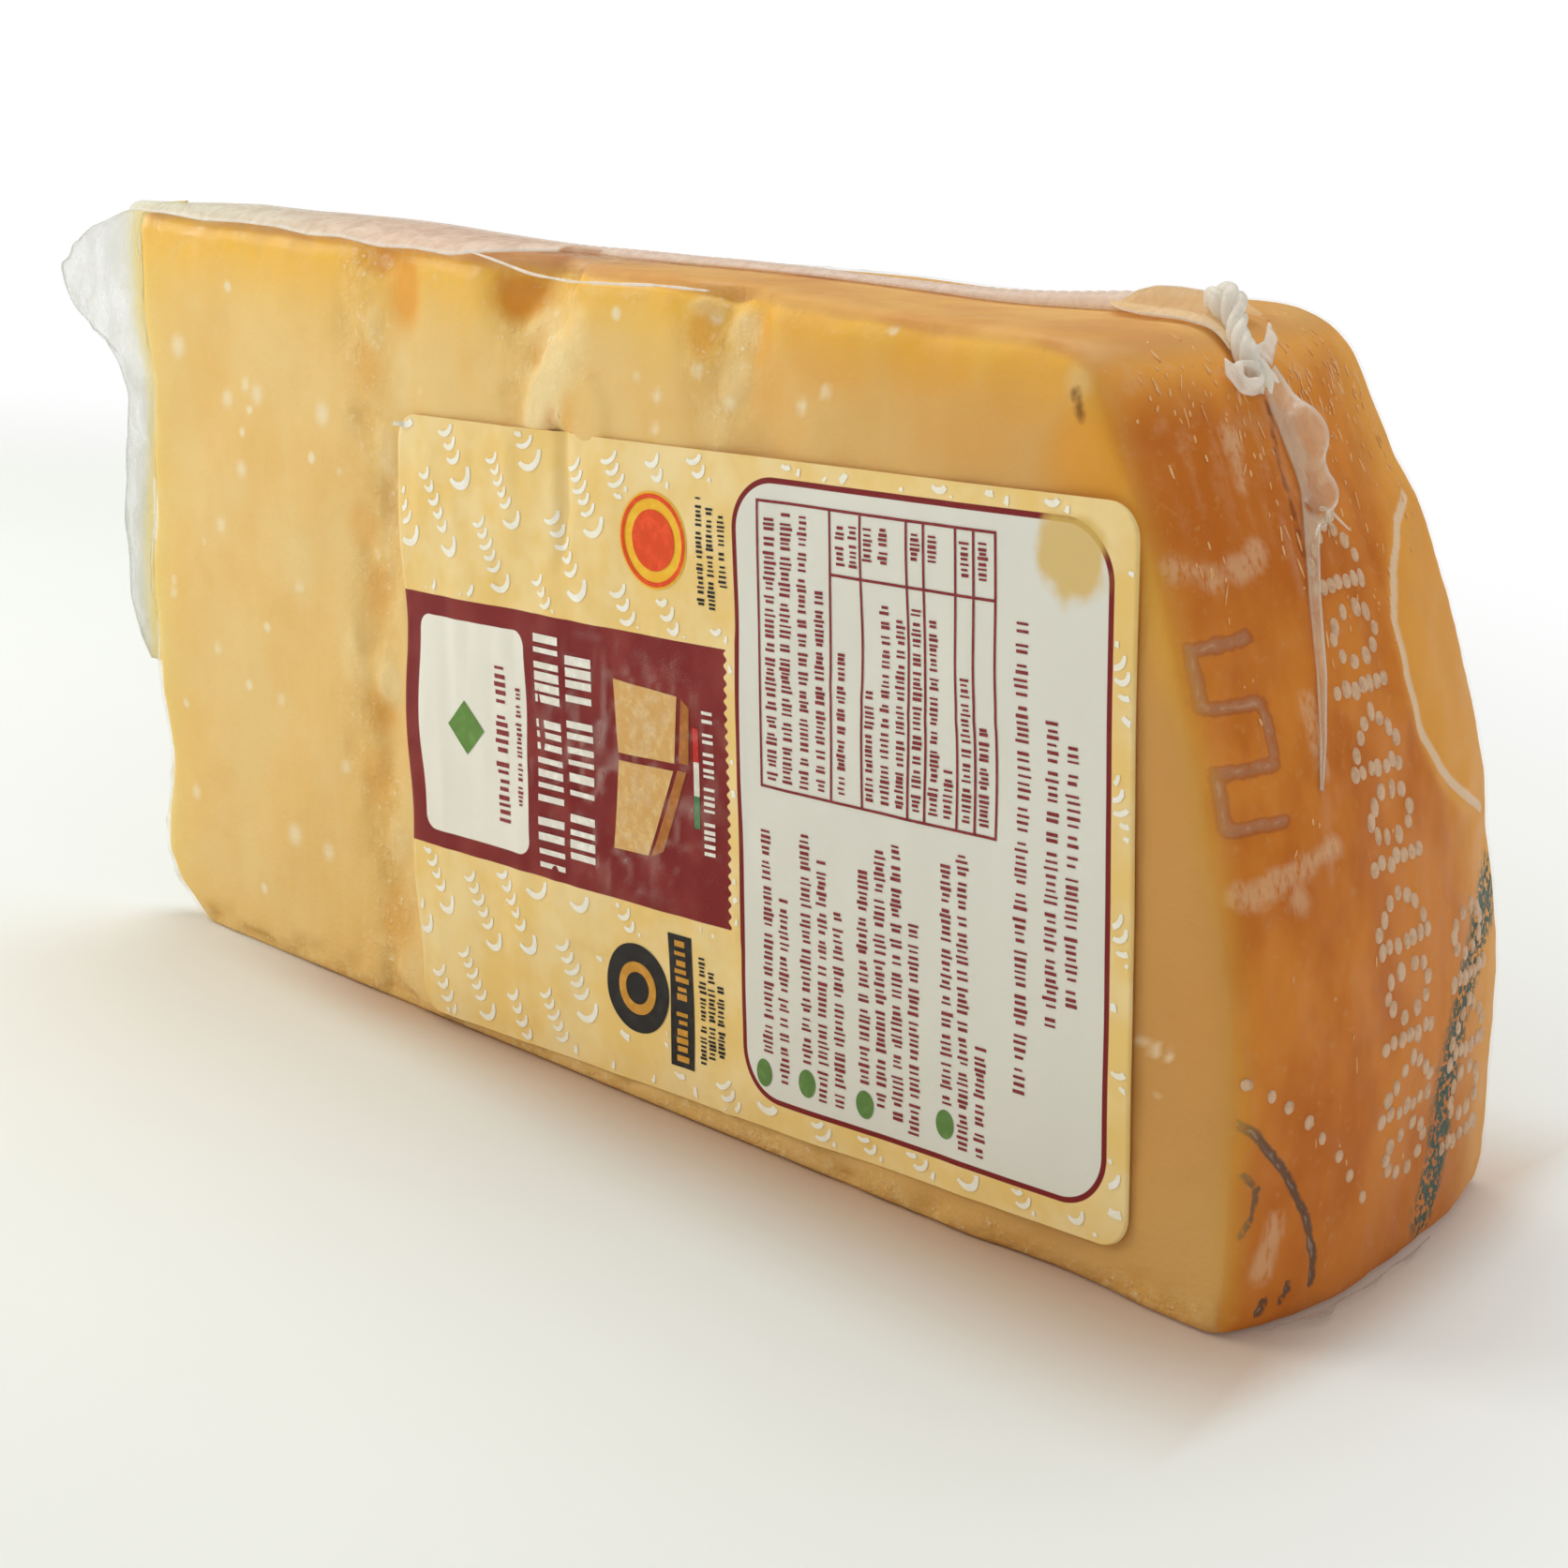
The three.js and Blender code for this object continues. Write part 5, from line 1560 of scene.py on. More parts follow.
# on the label, where the film has come loose and where glints are painted on it: middle, half
# size
LIFTED, GLINTING = (46, 43, 24, 24), (46, 43, 26, 26)


def build_film_skin(settings):
    """The tight film: over the cheese, over the label, and taut across the hollows."""
    form = packed_form()
    label = label_surface()
    mesh = form.mesh.copy()
    gap = settings.gap / MM
    points = form.points + form.normals * gap
    pairs = read_all(mesh.edges, "vertices", 2, np.int64)
    counts = np.bincount(pairs.ravel(), minlength=len(points))

    x, z = form.x, form.z
    u, v = label.unplace(x, z)
    over_label = ((u > -LABEL_MARGIN) & (u < LABEL_WIDTH + LABEL_MARGIN) & (v > -LABEL_MARGIN)
                  & (v < LABEL_HEIGHT + LABEL_MARGIN) & (form.near > 0.5))
    paper = label.front(np.clip(u, 0, LABEL_WIDTH), np.clip(v, 0, LABEL_HEIGHT))[:, 1] - gap
    floor_y = np.where(over_label, np.minimum(points[:, 1], paper), points[:, 1])
    y = floor_y.copy()
    taut = form.near > 0.6
    for _ in range(TAUTENING):
        y = np.where(taut, np.minimum(floor_y, averaged(y, pairs, counts)), y)
    points[:, 1] = y

    drawn = form.points[:, 1] - y
    # gathers that run along the edges and out from the rope
    ridge = np.clip(1 - np.abs(lumps(points, (3.2, 3.2, 9), 31)) * 3.2, 0, 1) ** 2
    top_edge = smooth_step(HEIGHT - 9, HEIGHT - 1.5, z)
    slack = np.clip(0.6 * top_edge * (1 - 0.6 * form.rind) * smooth_step(150, 95, x)
                    + smooth_step(12, 4, x), 0, 1)
    pleat = np.exp(-(gap_on_rind(form, *FILM_PLEATS) / 0.4) ** 2)
    points += form.normals * (0.35 * ridge * slack + 0.3 * pleat)[:, None]
    points[:, 2] = np.maximum(points[:, 2], 0.05)
    write_points(mesh, points)
    bridged = smooth_step(gap + 0.25, gap + 1.6, drawn) * (1 - over_label * 0.85)
    # over the red panel the film has lifted in small veins, made milky and glossy: partly loose
    # film, partly painted reflection
    on_label = np.stack([u, v, 0 * u], -1)
    veins = np.clip(1 - np.abs(lumps(on_label, (2.6, 3.6, 1), 33)) * 5, 0, 1)
    lifted = veins * over_label * bump(u, v, *LIFTED)
    covered = form.flat_side * smooth_step(118, 88, x) * (0.8 + 0.2 * lumps(points, 5, 34))
    loose = (0.15 * bridged * (1 - spots(form, CREAM_SPOTS)) + slack * (0.2 + 0.8 * ridge)
             + 0.15 * ridge * form.rind + lifted + covered)
    store(mesh, "loose", np.clip(loose + 0.7 * pleat, 0, 1))
    # painted glints: small milky-white spots over the label, where wrinkles in the film would
    # catch the light
    glints = np.clip(lumps(on_label, (1.3, 1.7, 1), 36) - 0.45, 0, 1) * 1.6
    store(mesh, "rim", np.clip((0.35 * veins + glints) * over_label * bump(u, v, *GLINTING),
                               0, 0.6))
    film = film_material("film_tight", settings.haze * 2.5, (0.97, 0.88, 0.74), tight=True,
                         gleam=1.0)
    skin = show("film_skin", mesh, film)
    # film this clear neither shades the cheese nor takes light from it
    skin.visible_shadow = skin.visible_diffuse = False


# ---- loose film: thin sheets and strands --------------------------------------------------

def even_path(points, count, softened=4):
    """Evenly spaced points along a line through the given ones, with its corners softened."""
    points = np.asarray(points, float)
    steps = np.linalg.norm(np.diff(points, axis=0), axis=1)
    run = np.concatenate([[0], np.cumsum(steps)])
    at = np.linspace(0, run[-1], count)
    even = np.stack([np.interp(at, run, axis) for axis in points.T], -1)
    for _ in range(softened):
        even[1:-1] = (even[:-2] + 2 * even[1:-1] + even[2:]) / 4
    return even


def on_middle(along, z, aside=0.0):
    """A point of the plane midway between the cut faces, or so far to its far side."""
    flat = MID_ALONG * along + MID_ACROSS * aside
    return flat + np.array([0, TIP_WIDTH / 2, z])


def off_rind(form, along, z, rise):
    """A point raised off the rind."""
    point, _ = form.rind_point(along, z)
    turn = along / WHEEL_RADIUS
    return point + rise * np.array([math.cos(turn), math.sin(turn), 0])


def rind_path(form, places, count, softened=4):
    """Evenly spaced points along a line raised off the rind."""
    return even_path([off_rind(form, *place) for place in places], count, softened)


def square_to(path):
    """Two directions square to a path, at each of its points."""
    run = np.gradient(path, axis=0)
    run /= np.linalg.norm(run, axis=1)[:, None]
    side = np.cross(run, MID_ACROSS)
    side /= np.linalg.norm(side, axis=1)[:, None]
    return side, np.cross(run, side)


class FilmPiece:
    """Thin sheets and strands of film, gathered into one closed mesh."""

    def __init__(self, thickness):
        self.half = thickness / 2
        self.points, self.faces, self.rims, self.roots, self.count = [], [], [], [], 0

    def add(self, points, faces, rim, root=0.0):
        self.points.append(points)
        self.faces += (np.asarray(faces) + self.count).tolist()
        self.rims.append(np.broadcast_to(rim, len(points)))
        self.roots.append(np.broadcast_to(root, len(points)))
        self.count += len(points)

    def sheet(self, root, edge, columns, folds=None, edge_width=0.45, over=None, root_width=0):
        """A sheet from its root line to its free edge, arched towards a third line if given.

        folds gives its swing, in millimetres.
        """
        share = np.linspace(0, 1, columns)[None, :, None]
        over = (root + edge) / 2 if over is None else over
        grid = (root[:, None] * (1 - share) ** 2 + over[:, None] * 2 * share * (1 - share)
                + edge[:, None] * share ** 2)
        normals = self.normals(grid)
        if folds is not None:
            flat = grid.reshape(-1, 3)
            swing = folds(flat, np.repeat(np.linspace(0, 1, len(root)), columns),
                          np.tile(share.ravel(), len(root)))
            grid = grid + normals * swing.reshape(grid.shape[:2])[..., None]
            normals = self.normals(grid)
        points, faces = closed_sheet(grid + self.half * normals, grid - self.half * normals)
        gap = np.linalg.norm(grid - grid[:, -1:], axis=-1).ravel()
        rim = np.exp(-(gap / edge_width) ** 2)
        gap = np.linalg.norm(grid - grid[:, :1], axis=-1).ravel()
        foot = np.exp(-(gap / root_width) ** 2) if root_width else np.zeros(len(gap))
        self.add(points, faces, np.concatenate([rim, rim]), np.concatenate([foot, foot]))

    @staticmethod
    def normals(grid):
        face = np.cross(np.gradient(grid, axis=0), np.gradient(grid, axis=1))
        return face / np.maximum(np.linalg.norm(face, axis=-1, keepdims=True), 1e-9)

    def strand(self, path, radii, rim, sides=10):
        """A round strand along a path, closed at both ends."""
        side, other = square_to(path)
        turn = np.linspace(0, 2 * np.pi, sides, endpoint=False)
        ring = (side[:, None] * np.cos(turn)[None, :, None]
                + other[:, None] * np.sin(turn)[None, :, None])
        points = (path[:, None] + ring * np.asarray(radii)[:, None, None]).reshape(-1, 3)
        self.add(points, tube_faces(len(path), sides), rim)
        first = self.count - len(points)
        self.faces.append([first + i for i in range(sides)])
        self.faces.append([self.count - 1 - i for i in range(sides)])

    def show(self, name, material, replaced):
        mesh = new_mesh(name, np.concatenate(self.points), self.faces)
        store(mesh, "rim", np.concatenate(self.rims))
        store(mesh, "root", np.concatenate(self.roots))
        face_outwards(mesh)
        return show(name, mesh, material, replaced)


# the fin's free edge, from the flat side down to its foot: along the middle plane, height
FIN_EDGE = ((15, 111.1), (10.8, 110.7), (6.6, 110.2), (0.2, 108.6), (-3.2, 107.2), (-6.4, 106.1),
            (-9.2, 104.2), (-11, 103.3), (-12.4, 101.2), (-15.3, 99.8), (-15, 97.4),
            (-13.8, 95.7), (-10.7, 93), (-8.2, 91.2), (-7.4, 90.1), (-5.4, 89.5), (-2.5, 85.9),
            (-0.6, 81.1), (-1.0, 77), (-1.9, 72), (-2.4, 66), (-3.4, 60.4), (-2.4, 54),
            (-2, 48.7), (0, 43.5), (2.2, 40))
FIN_POINTS = (150, 26)           # along it and across it
FIN_ROOT = ((14, 111.5), (9, 111), (5.5, 109), (3, 106.5), (2.4, 103), (2.6, 98), (3, 91),
            (3, 82), (3, 70), (2.6, 56), (3, 48), (3, 40))


def fin_folds(points, along, across):
    """Soft folds that spread from the wedge's upper corner, sharper where they cross."""
    spread = np.clip(4 - points @ MID_ALONG, 0, 16) / 16
    soft = 1.3 * lumps(points, (8, 8, 7), 51) + 0.25 * lumps(points, (3, 3, 4), 52)
    crease = np.clip(1 - np.abs(lumps(points, (6, 6, 8), 53)) * 2.5, 0, 1) ** 2
    return spread * (soft + 0.6 * crease)


def build_fin(settings, material):
    """The welded edge that stands out from the thin end."""
    form = packed_form()
    root = []
    for along, z in FIN_ROOT:
        start = Vector(to_frame(on_middle(along, z)))
        hit, normal, _, _ = form.tree.find_nearest(start)
        root.append(from_frame(hit + normal * settings.gap))
    edge = [on_middle(along, z) for along, z in FIN_EDGE]
    fin = FilmPiece(settings.thickness / MM)
    count, columns = FIN_POINTS
    fin.sheet(even_path(root, count), even_path(edge, count, 1), columns, fin_folds, 0.3,
              root_width=3.4)
    fin.show("film_fin", material, ["film_seam_tip"])


# ridge of the fold on the flat side: along the middle plane, height
FOLD_RIDGE = ((13, 110.6), (20, 111.3), (28, 111.6), (42, 111.3), (55, 111.2), (90, 110.7),
              (121, 110.2), (150, 110.1), (166, 110.4), (176, 110.7))
FOLD_WIDTH = 5.5
FOLD_POINTS = (560, 14)
RIB_PITCH = 1.7
# the hem of the film draped over the near edge at the thin end: x, y, height
HEM = ((5, -0.4, 109.3), (14, -0.4, 109.4), (24, -0.4, 109.0), (33, -0.4, 109.4),
       (42, -0.4, 109.4), (50, -0.4, 108.8), (57, -0.4, 109.1), (66, -0.4, 108.5),
       (74, -0.4, 109.0), (81, -0.3, 108.8), (87, 0.3, 109.7), (91, 2.5, 110.1), (96, 6, 110.3))
DRAPE_POINTS = (220, 22)
DRAPE_TOP = (6, 18, 30, 42, 54, 66, 76, 84, 90, 95)
FOLD_DROP = 1.5                  # the fold's free edge lies lower than its ridge
PLEAT_LINE = ((84, 0.2, 109.8), (91, -0.2, 109.0), (98, -0.4, 107.9), (106, -0.4, 107.6),
              (114, -0.4, 108.0), (122, -0.4, 108.5), (131, -0.3, 108.6))


def ridge_height(along):
    """Height of the fold's ridge at a place along the wedge."""
    ridge = np.array(FOLD_RIDGE)
    return np.interp(along, ridge[:, 0], ridge[:, 1]) - sag(along, 0.5)


def flat_side_height(along):
    """The flat side falls away towards the shoulder."""
    return HEIGHT - 2 * smooth_step(120, 190, along) - sag(along, 0.5)


def build_fold(settings, material):
    """The weld that lies folded on the flat side, finely ribbed towards the rind."""
    count, columns = FOLD_POINTS
    stations = np.linspace(FOLD_RIDGE[0][0], FOLD_RIDGE[-1][0], count)
    root = np.array([on_middle(a, flat_side_height(a) + 0.3) for a in stations])
    edge = np.array([on_middle(a, max(ridge_height(a) - FOLD_DROP, flat_side_height(a) + 0.3),
                               FOLD_WIDTH + 0.5 * math.sin(a / 8)) for a in stations])
    crown = np.array([on_middle(a, ridge_height(a) + 0.6, 1.2) for a in stations])

    def ribs(points, along, across):
        """Fine cross ribs on the outer half of the weld, over slow waves."""
        place = points @ MID_ALONG
        rib = 0.09 * np.sin(2 * np.pi * place / RIB_PITCH) * smooth_step(0.35, 0.6, across)
        return rib * smooth_step(80, 100, place) + 0.25 * across * lumps(points, (9, 9, 9), 54)

    fold = FilmPiece(settings.thickness / MM)
    fold.sheet(root, edge, columns, ribs, 0.4, over=crown)
    fold.show("film_fold", material, ["film_seam_top"])


def build_drape(settings, material):
    """The film drawn from the fold down over the near edge at the thin end."""
    count, columns = DRAPE_POINTS
    hem = even_path(HEM, count)
    hem[:, 2] -= sag(hem[:, 0], 0)
    top = even_path([on_middle(a, ridge_height(a) - 0.3, 1.0) for a in DRAPE_TOP], count)
    brow = hem + (0, 0.9, 0)
    brow[:, 2] = HEIGHT + 1.4

    def drape(points, along, across):
        """Slack that hangs between fold and hem."""
        slack = 4 * across * (1 - across)
        return -slack * (0.16 * lumps(points, (13, 7, 4), 56) + 0.05 * lumps(points, 3, 57))

    piece = FilmPiece(settings.thickness / MM)
    piece.sheet(top, hem, columns, drape, 0.5, over=brow)
    line = even_path(PLEAT_LINE, 60)
    line[:, 2] -= sag(line[:, 0], 0)
    piece.strand(line, 0.17 + 0.06 * lumps(line, 3, 63), 0.7, 6)
    piece.show("film_drape", material, [])


# the hood of film over the shoulder: along the middle, near foot, ridge, far foot
HOOD_NEAR = ((172.4, 24.8, 108.5), (175.4, 22.8, 108.3), (179.2, 22.0, 108.1),
             (184.4, 23.2, 107.9), (188.1, 23.5, 107.3), (190.0, 23.2, 106.3),
             (191.4, 22.8, 105.2))
HOOD_RIDGE = ((174.5, 108.6), (177.5, 110.5), (180, 111.2), (183, 111.3), (186, 111.1),
              (188, 111.0), (190, 110.9))
HOOD_DEPTH = 7
HOOD_POINTS = 60                 # along it


def build_hood(settings, material):
    """The film arches over the shoulder from the fold to the rope."""
    count = HOOD_POINTS
    near = even_path(HOOD_NEAR, count)
    ridge = even_path([on_middle(a - 0.9, z - 0.35, 0.6) for a, z in HOOD_RIDGE], count)
    far = ridge + MID_ACROSS * HOOD_DEPTH
    far[:, 2] = flat_side_height(far @ MID_ALONG) + 0.3

    def arch(points, along, across):
        lift = 1.3 * np.sin(np.pi * across) * np.sin(np.pi * np.clip(along * 1.1, 0, 1))
        return lift + 0.2 * lumps(points, (5, 3, 3), 58) * across * (1 - along)

    hood = FilmPiece(settings.thickness / MM)
    hood.sheet(ridge, near, 20, arch, 0.2)
    hood.sheet(far, ridge, 12, None, 0.2)
    # a second, narrower pleat lies along its front
    inner = near + (ridge - near) * 0.16 + np.array([0, -0.5, 0.5])
    hood.sheet(inner, even_path(near + np.array([0.3, -0.9, 0.1]), count), 6, None, 0.3)
    hood.show("film_hood", material, [])


# the rope's middle: x, y, height
ROPE_PATH = ((184.5, 26.6, 110.2), (187, 26.8, 110.4), (188.8, 26.2, 109.2),
             (190.4, 24.6, 107.7), (191.9, 23.4, 106.4), (193.2, 22.8, 105.1),
             (194.3, 22.7, 103.7), (194.9, 23.8, 102.3), (195.3, 25, 101.2))
ROPE_POINTS = 90                 # along it
ROPE_STRANDS = 4
ROPE_TURNS = 1.7
KNOT = (0.2, 0.13)               # along the rope: middle, half length
LOOP = {"along": 23.5, "z": 103.2, "half_along": 1.7, "half_z": 1.0, "rise": 2.2, "radius": 0.5}
# two ears of film beside it: distance round the rind, height, clearance
SPIKE_TOP = ((27.4, 105.6, 3.2), (31, 106, 3.5), (34, 106.6, 3.5), (38.2, 107.2, 3.6))
SPIKE_FOOT = ((29.2, 103.6, 2.4), (31.5, 104.6, 2.6), (34.2, 105.6, 2.9), (38.2, 107.1, 3.5))
SKIRT_INNER = ((21.6, 104.2, 2.2), (20.9, 103.1, 2.1), (22, 102, 1.9), (24.5, 101.6, 1.7),
               (27, 102, 1.6))
SKIRT_OUTER = ((20.9, 104.8, 1.9), (19.6, 103.2, 1.4), (21.3, 101.3, 0.8), (24.4, 100.6, 0.5),
               (27.8, 100.8, 0.4))


def build_rope(settings, material):
    """The film is drawn together into a twisted rope that ends in a pinched loop."""
    form = packed_form()
    rope = FilmPiece(settings.thickness / MM)
    path = even_path(ROPE_PATH, ROPE_POINTS, 6)
    t = np.linspace(0, 1, ROPE_POINTS)
    side, other = square_to(path)
    knot = np.exp(-((t - KNOT[0]) / KNOT[1]) ** 2)
    gather = 0.68 + 0.5 * knot + 0.35 * smooth_step(0.75, 1, t)
    for strand in range(ROPE_STRANDS):
        turn = 2 * math.pi * (strand / ROPE_STRANDS + ROPE_TURNS * t)
        turn += 0.5 * lumps(path, 3, strand)
        out = side * np.cos(turn)[:, None] + other * np.sin(turn)[:, None]
        thick = (0.72 + 0.28 * knot + 0.14 * np.sin(9 * t + strand)) * smooth_step(0, 0.06, t)
        thick *= smooth_step(1.02, 0.9, t) * 0.85 + 0.15
        rope.strand(path + out * gather[:, None], thick, 0.15 + 0.35 * (strand % 2), 12)
    turn = np.linspace(0.2, 2 * math.pi + 0.2, 48)
    loop = [off_rind(form, LOOP["along"] + LOOP["half_along"] * math.cos(a),
                     LOOP["z"] + LOOP["half_z"] * math.sin(a), LOOP["rise"] + 0.4 * math.cos(a))
            for a in turn]
    rope.strand(np.array(loop), LOOP["radius"] * (1 + 0.3 * np.sin(3 * turn)), 0.5)
    for inner, outer in ((SPIKE_FOOT, SPIKE_TOP), (SKIRT_INNER, SKIRT_OUTER)):
        rope.sheet(rind_path(form, inner, 40), rind_path(form, outer, 40), 8,
                   lambda points, along, across: 0.3 * lumps(points, 2.2, 59), 0.35)
    rope.show("film_rope", material, ["film_gather"])


# the flap on the rind: distance round it, height, clearance
FLAP_ROOT = ((28.1, 101.8, 0.4), (27.8, 100.3, 0.35), (27.6, 98.3, 0.35), (27.9, 96.8, 0.35),
             (27.9, 94.7, 0.35), (28.1, 92.7, 0.35), (28.0, 90.9, 0.35), (27.2, 89.2, 0.35),
             (25.8, 86.9, 0.35), (24.6, 84.5, 0.35), (22.6, 79.7, 0.3), (20.4, 72, 0.3),
             (18.2, 65, 0.3), (16.4, 60, 0.3))
FLAP_EDGE = ((28.9, 103.6, 2.9), (29.5, 102.1, 2.8), (30.1, 100.8, 2.6), (31.7, 99.9, 2.4),
             (34, 98.9, 2.2), (35.2, 97.7, 2.4), (35.3, 96.5, 2.7), (34.9, 95.2, 2.6),
             (33.5, 94.1, 2.6), (31.8, 93.2, 2.7), (31.9, 92.2, 2.6), (33.1, 91, 2.4),
             (33.1, 90, 2.5), (32.2, 89.1, 2.6), (30.6, 88.5, 2.2), (28.6, 88, 1.9),
             (26.9, 86.6, 1.7), (25.3, 84, 1.5), (23.2, 79.7, 1.4), (20.9, 72, 1.2),
             (18.4, 65, 0.9), (16.5, 60, 0.5))
WHISKER = ((29.5, 88.3, 1.2), (31.2, 87.9, 1.1), (32.7, 87.5, 0.8), (34, 86.4, 0.7),
           (35.9, 85.1, 0.5))
FLAP_POINTS = (170, 20)
WHISKER_POINTS = 24
WHISKER_RADII = (0.28, 0.1)


def flap_folds(points, along, across):
    """The flap bows outwards, with long pleats and one sharp fold across it."""
    bow = 0.5 * np.sin(np.pi * across)
    pleats = 0.1 * lumps(points, (1.8, 1.8, 7), 61) + 0.3 * lumps(points, (4, 4, 5), 62)
    cross = 0.7 * np.exp(-((points[:, 2] - 89.4 + 2.2 * across) / 0.55) ** 2)
    return -(bow + pleats + cross) * smooth_step(0, 0.35, across)


def build_flap(settings, material):
    """The weld's end, loose on the rind below the rope."""
    form = packed_form()
    flap = FilmPiece(settings.thickness / MM)
    count, columns = FLAP_POINTS
    flap.sheet(rind_path(form, FLAP_ROOT, count), rind_path(form, FLAP_EDGE, count, 3), columns,
               flap_folds, 0.4)
    flap.strand(rind_path(form, WHISKER, WHISKER_POINTS),
                np.linspace(*WHISKER_RADII, WHISKER_POINTS), 0.6, 6)
    flap.show("film_flap", material, ["film_seam_rind"])


LIP_THINNING = 0.12              # taken off each side of the CAD's lip
LIP_CRUMPLE = 0.15


def build_lip(material):
    """The lip of film under the rind, from its CAD solid: thinner and crumpled."""
    subdivide = ("SUBSURF", {"levels": 1, "render_levels": 1})
    mesh = finished(merged_copy("film_foot_lip"), subdivide)
    points = read_points(mesh) - read_normals(mesh) * LIP_THINNING
    points[:, 2] += LIP_CRUMPLE * np.abs(lumps(points, 2.5, 58))
    write_points(mesh, points)
    show("film_lip", mesh, material, ["film_foot_lip"])


def build_loose_film(settings):
    """All loose film: milkier and whiter where it is gathered, tinted by what lies under it."""
    milk = settings.milk
    # painted shade: the fin's film greyer towards its foot, paler above
    pearl = film_material("film_loose", milk * 1.2, PEARL, bright=PEARL, gleam=0.35,
                          fade=(2, 62, 96, (0.92, 0.93, 0.89)))
    grey = film_material("film_weld", milk * 2.4, (1.0, 0.92, 0.84), gleam=0.5)
    rosy = film_material("film_drape", milk * 2.2, (0.92, 0.95, 0.86), gleam=0.3,
                         fade=(0, 14, 70, (0.99, 0.89, 0.80)))
    amber = film_material("film_hood", milk * 2.0, (1.0, 0.84, 0.54), gleam=0.12)
    white = film_material("film_rope", milk * 2.9, (1.0, 0.98, 0.92), bright=(1.0, 0.98, 0.93),
                          gleam=0.9)
    tan = film_material("film_flap", milk * 1.1, (0.96, 0.88, 0.70), gleam=0.6)
    build_fin(settings, pearl)
    build_fold(settings, grey)
    build_drape(settings, rosy)
    build_hood(settings, amber)
    build_rope(settings, white)
    build_flap(settings, tan)
    build_lip(pearl)


# ---- the stage ----------------------------------------------------------------------------

PALE_MIDDLE = (-0.25, -0.2, 0)           # metres: the middle of the floor's pale part
FLOOR_FADE = (0.36, 0.60)                # metres from there, pale to plain white
FLOOR_REACH, FLOOR_SIDES = 40.0, 64
CONTACT_SHADOW_COLOUR = (0.58, 0.42, 0.29)        # painted contact shadow on the floor beside the cheese
SHADOW_REACH = (0.008, 0.032)           # metres out that it goes, thin end and rind
SHADOW_START = (0.015, 0.07)               # metres from the axle: none, whole
CAMERA_PLACE = (385.6, -239.4, 145.3)    # millimetres from the axle
CAMERA_HEADING = math.radians(-45.18)    # from +Y, clockwise seen from above
CAMERA_PITCH = math.radians(-15.73)
CAMERA_ROLL = math.radians(0.83)
SENSOR = 36
CLIPPING = (0.01, 50)
LAMPS = (                                # name, setting of its power, place, size, colour
    ("overhead", "key", (-0.22, 0.32, 1.15), 0.8, (0.86, 0.94, 1.0)),
    ("tip_side", "fill", (-0.62, -0.42, 0.42), 0.45, (1, 1, 1)),
    ("rind_side", "rind_fill", (0.95, -0.35, 0.6), 0.8, (1, 1, 1)),
)
LAMP_AIM = (0, 0, 0.05)


def build_camera(lens):
    """Sets the camera by its heading, pitch and roll."""
    data = bpy.data.cameras.new("camera")
    data.lens = lens
    data.sensor_width = SENSOR
    data.clip_start, data.clip_end = CLIPPING
    camera = placed("camera", data)
    forward = Vector((math.sin(CAMERA_HEADING) * math.cos(CAMERA_PITCH),
                      math.cos(CAMERA_HEADING) * math.cos(CAMERA_PITCH),
                      math.sin(CAMERA_PITCH)))
    level = forward.cross(Vector((0, 0, 1))).normalized()
    upright = level.cross(forward)
    right = level * math.cos(CAMERA_ROLL) + upright * math.sin(CAMERA_ROLL)
    up = right.cross(forward)
    turn = Matrix((right, up, -forward)).transposed().to_4x4()
    camera.matrix_world = Matrix.Translation(Vector(to_frame(CAMERA_PLACE))) @ turn
    bpy.context.scene.camera = camera


def build_lamp(name, power, place, size, tint):
    data = bpy.data.lights.new(name, "AREA")
    data.energy = power
    data.size = size
    data.color = tint
    turn = (Vector(LAMP_AIM) - Vector(place)).to_track_quat("-Z", "Y").to_matrix().to_4x4()
    placed(name, data).matrix_world = Matrix.Translation(Vector(place)) @ turn


def build_world(settings):
    """White to look at; as light, dim at the horizon and brighter overhead."""
    world = bpy.data.worlds.new("surroundings")
    world.use_nodes = True
    n = Nodes(world.node_tree)
    height = n.axes(n.node("ShaderNodeTexCoord", output="Generated"))["Z"]
    strength = n.node("ShaderNodeMapRange", {"Value": height, "To Min": settings.sky_low,
                                             "To Max": settings.sky_high})
    light = n.node("ShaderNodeBackground", {"Color": settings.warmth, "Strength": strength})
    backdrop = n.node("ShaderNodeBackground", {"Color": (1, 1, 1)})
    seen = n.node("ShaderNodeLightPath", output="Is Camera Ray")
    n.node("ShaderNodeOutputWorld", {"Surface": n.mixed_shader(seen, light, backdrop)})
    bpy.context.scene.world = world


def build_stage(settings):
    """Camera, floor, surroundings and lamps."""
    build_camera(settings.lens)
    turns = [2 * math.pi * i / FLOOR_SIDES for i in range(FLOOR_SIDES)]
    ring = [(FLOOR_REACH * math.cos(turn), FLOOR_REACH * math.sin(turn), 0) for turn in turns]
    mesh = bpy.data.meshes.new("floor")
    mesh.from_pydata(ring, [], [tuple(range(FLOOR_SIDES))])
    mesh.materials.append(floor_material(settings))
    floor = placed("floor", mesh)
    build_world(settings)
    for name, power, place, size, tint in LAMPS:
        build_lamp(name, getattr(settings, power), place, size, tint)
    bpy.context.scene.view_settings.view_transform = "Standard"


# ---- operators, one for each piece or group -----------------------------------------------

class CHEESE_OT_body(bpy.types.Operator):
    """Build the cheese itself, with its broken places, its rind and the marks pressed in it"""

    bl_idname = "cheese.body"
    bl_label = "Cheese"

    def execute(self, context):
        build_cheese(context.scene.cheese)
        return {"FINISHED"}


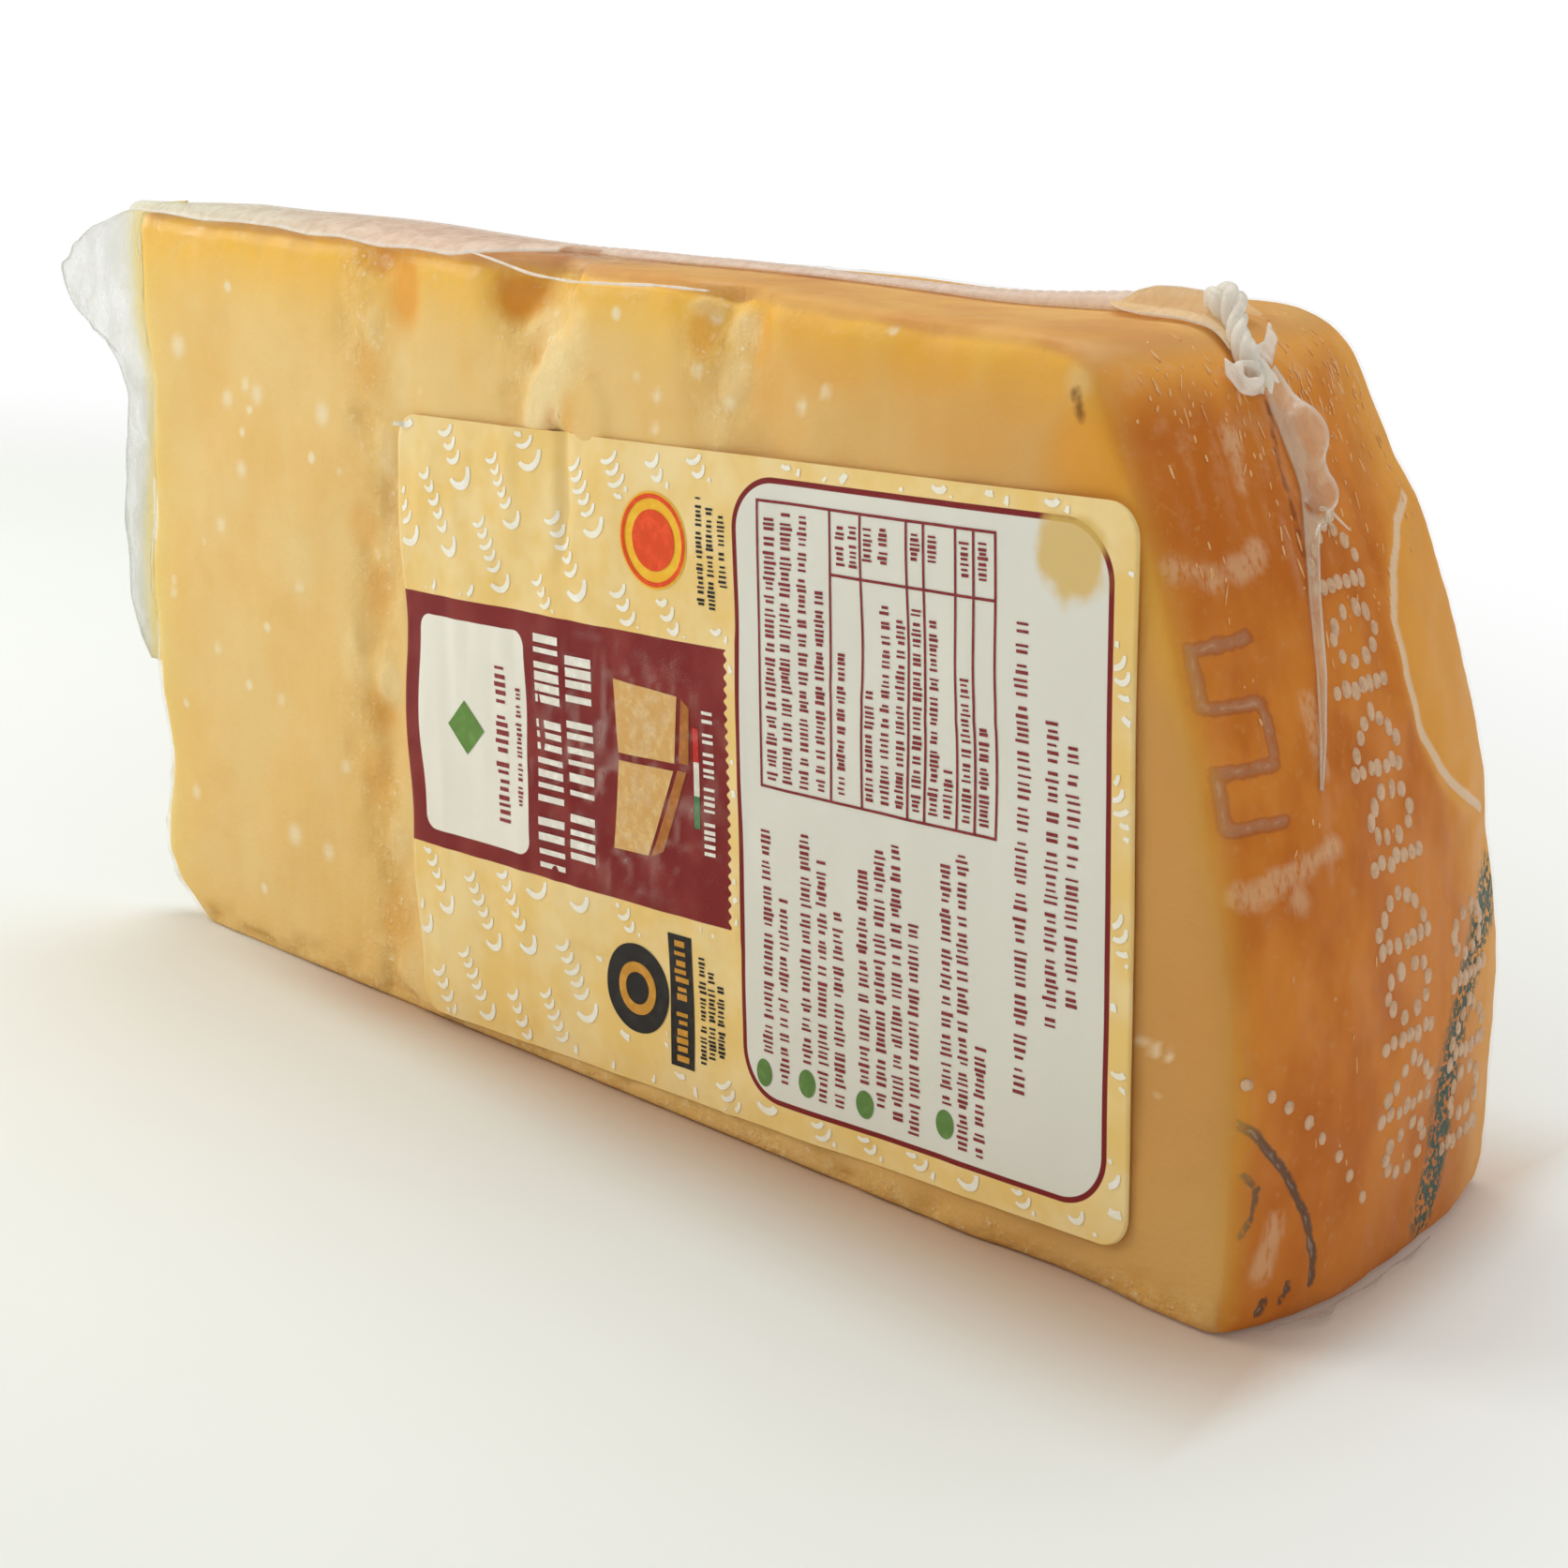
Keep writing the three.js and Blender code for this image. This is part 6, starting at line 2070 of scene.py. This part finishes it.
class CHEESE_OT_rind_marks(bpy.types.Operator):
    """Scatter the pressed dots, and the pale scratches and painted film glints, over the rind"""

    bl_idname = "cheese.rind_marks"
    bl_label = "Rind marks"

    def execute(self, context):
        build_rind_dots()
        build_scratches_and_glints()
        return {"FINISHED"}


class CHEESE_OT_label(bpy.types.Operator):
    """Build the paper label with its printed fields and marks"""

    bl_idname = "cheese.label"
    bl_label = "Label"

    def execute(self, context):
        settings = context.scene.label
        label = build_label(settings)
        build_squiggles(settings, label)
        build_red_panel_print(settings, label)
        build_cream_panel_print(settings, label)
        build_seals(settings, label)
        build_text(settings, label)
        return {"FINISHED"}


class CHEESE_OT_film_skin(bpy.types.Operator):
    """Stretch the clear film over the cheese and its label"""

    bl_idname = "cheese.film_skin"
    bl_label = "Tight film"

    def execute(self, context):
        build_film_skin(context.scene.film)
        return {"FINISHED"}


class CHEESE_OT_welds(bpy.types.Operator):
    """Build the film's welded edges, its rope, its flap and its lip"""

    bl_idname = "cheese.welds"
    bl_label = "Film edges"

    def execute(self, context):
        build_loose_film(context.scene.film)
        return {"FINISHED"}


class CHEESE_OT_stage(bpy.types.Operator):
    """Set the floor, the soft lights and the camera"""

    bl_idname = "cheese.stage"
    bl_label = "Stage"

    def execute(self, context):
        build_stage(context.scene.stage)
        return {"FINISHED"}


class CHEESE_PT_panel(bpy.types.Panel):
    """Sidebar panel that lists the wedge's pieces"""

    bl_label = "Cheese wedge"
    bl_idname = "CHEESE_PT_panel"
    bl_space_type = "VIEW_3D"
    bl_region_type = "UI"
    bl_category = "Cheese"

    def draw(self, context):
        for key in SETTINGS:
            box = self.layout.box()
            box.label(text=key.capitalize())
            group = getattr(context.scene, key)
            for name in SETTINGS[key].__annotations__:
                box.prop(group, name)
        for operator in OPERATORS:
            self.layout.operator(operator.bl_idname)


SETTINGS = {"cheese": CheeseSettings, "label": LabelSettings, "film": FilmSettings,
            "stage": StageSettings}
OPERATORS = (CHEESE_OT_body, CHEESE_OT_rind_marks, CHEESE_OT_label, CHEESE_OT_film_skin,
             CHEESE_OT_welds, CHEESE_OT_stage)
CLASSES = (*SETTINGS.values(), *OPERATORS, CHEESE_PT_panel)


def register():
    for cls in CLASSES:
        bpy.utils.register_class(cls)
    for key, group in SETTINGS.items():
        setattr(bpy.types.Scene, key, bpy.props.PointerProperty(type=group))


def unregister():
    for key in SETTINGS:
        delattr(bpy.types.Scene, key)
    for cls in reversed(CLASSES):
        bpy.utils.unregister_class(cls)


def main():
    register()
    for name in ("body", "rind_marks", "label", "film_skin", "welds", "stage"):
        getattr(bpy.ops.cheese, name)()


if __name__ == "__main__":
    main()
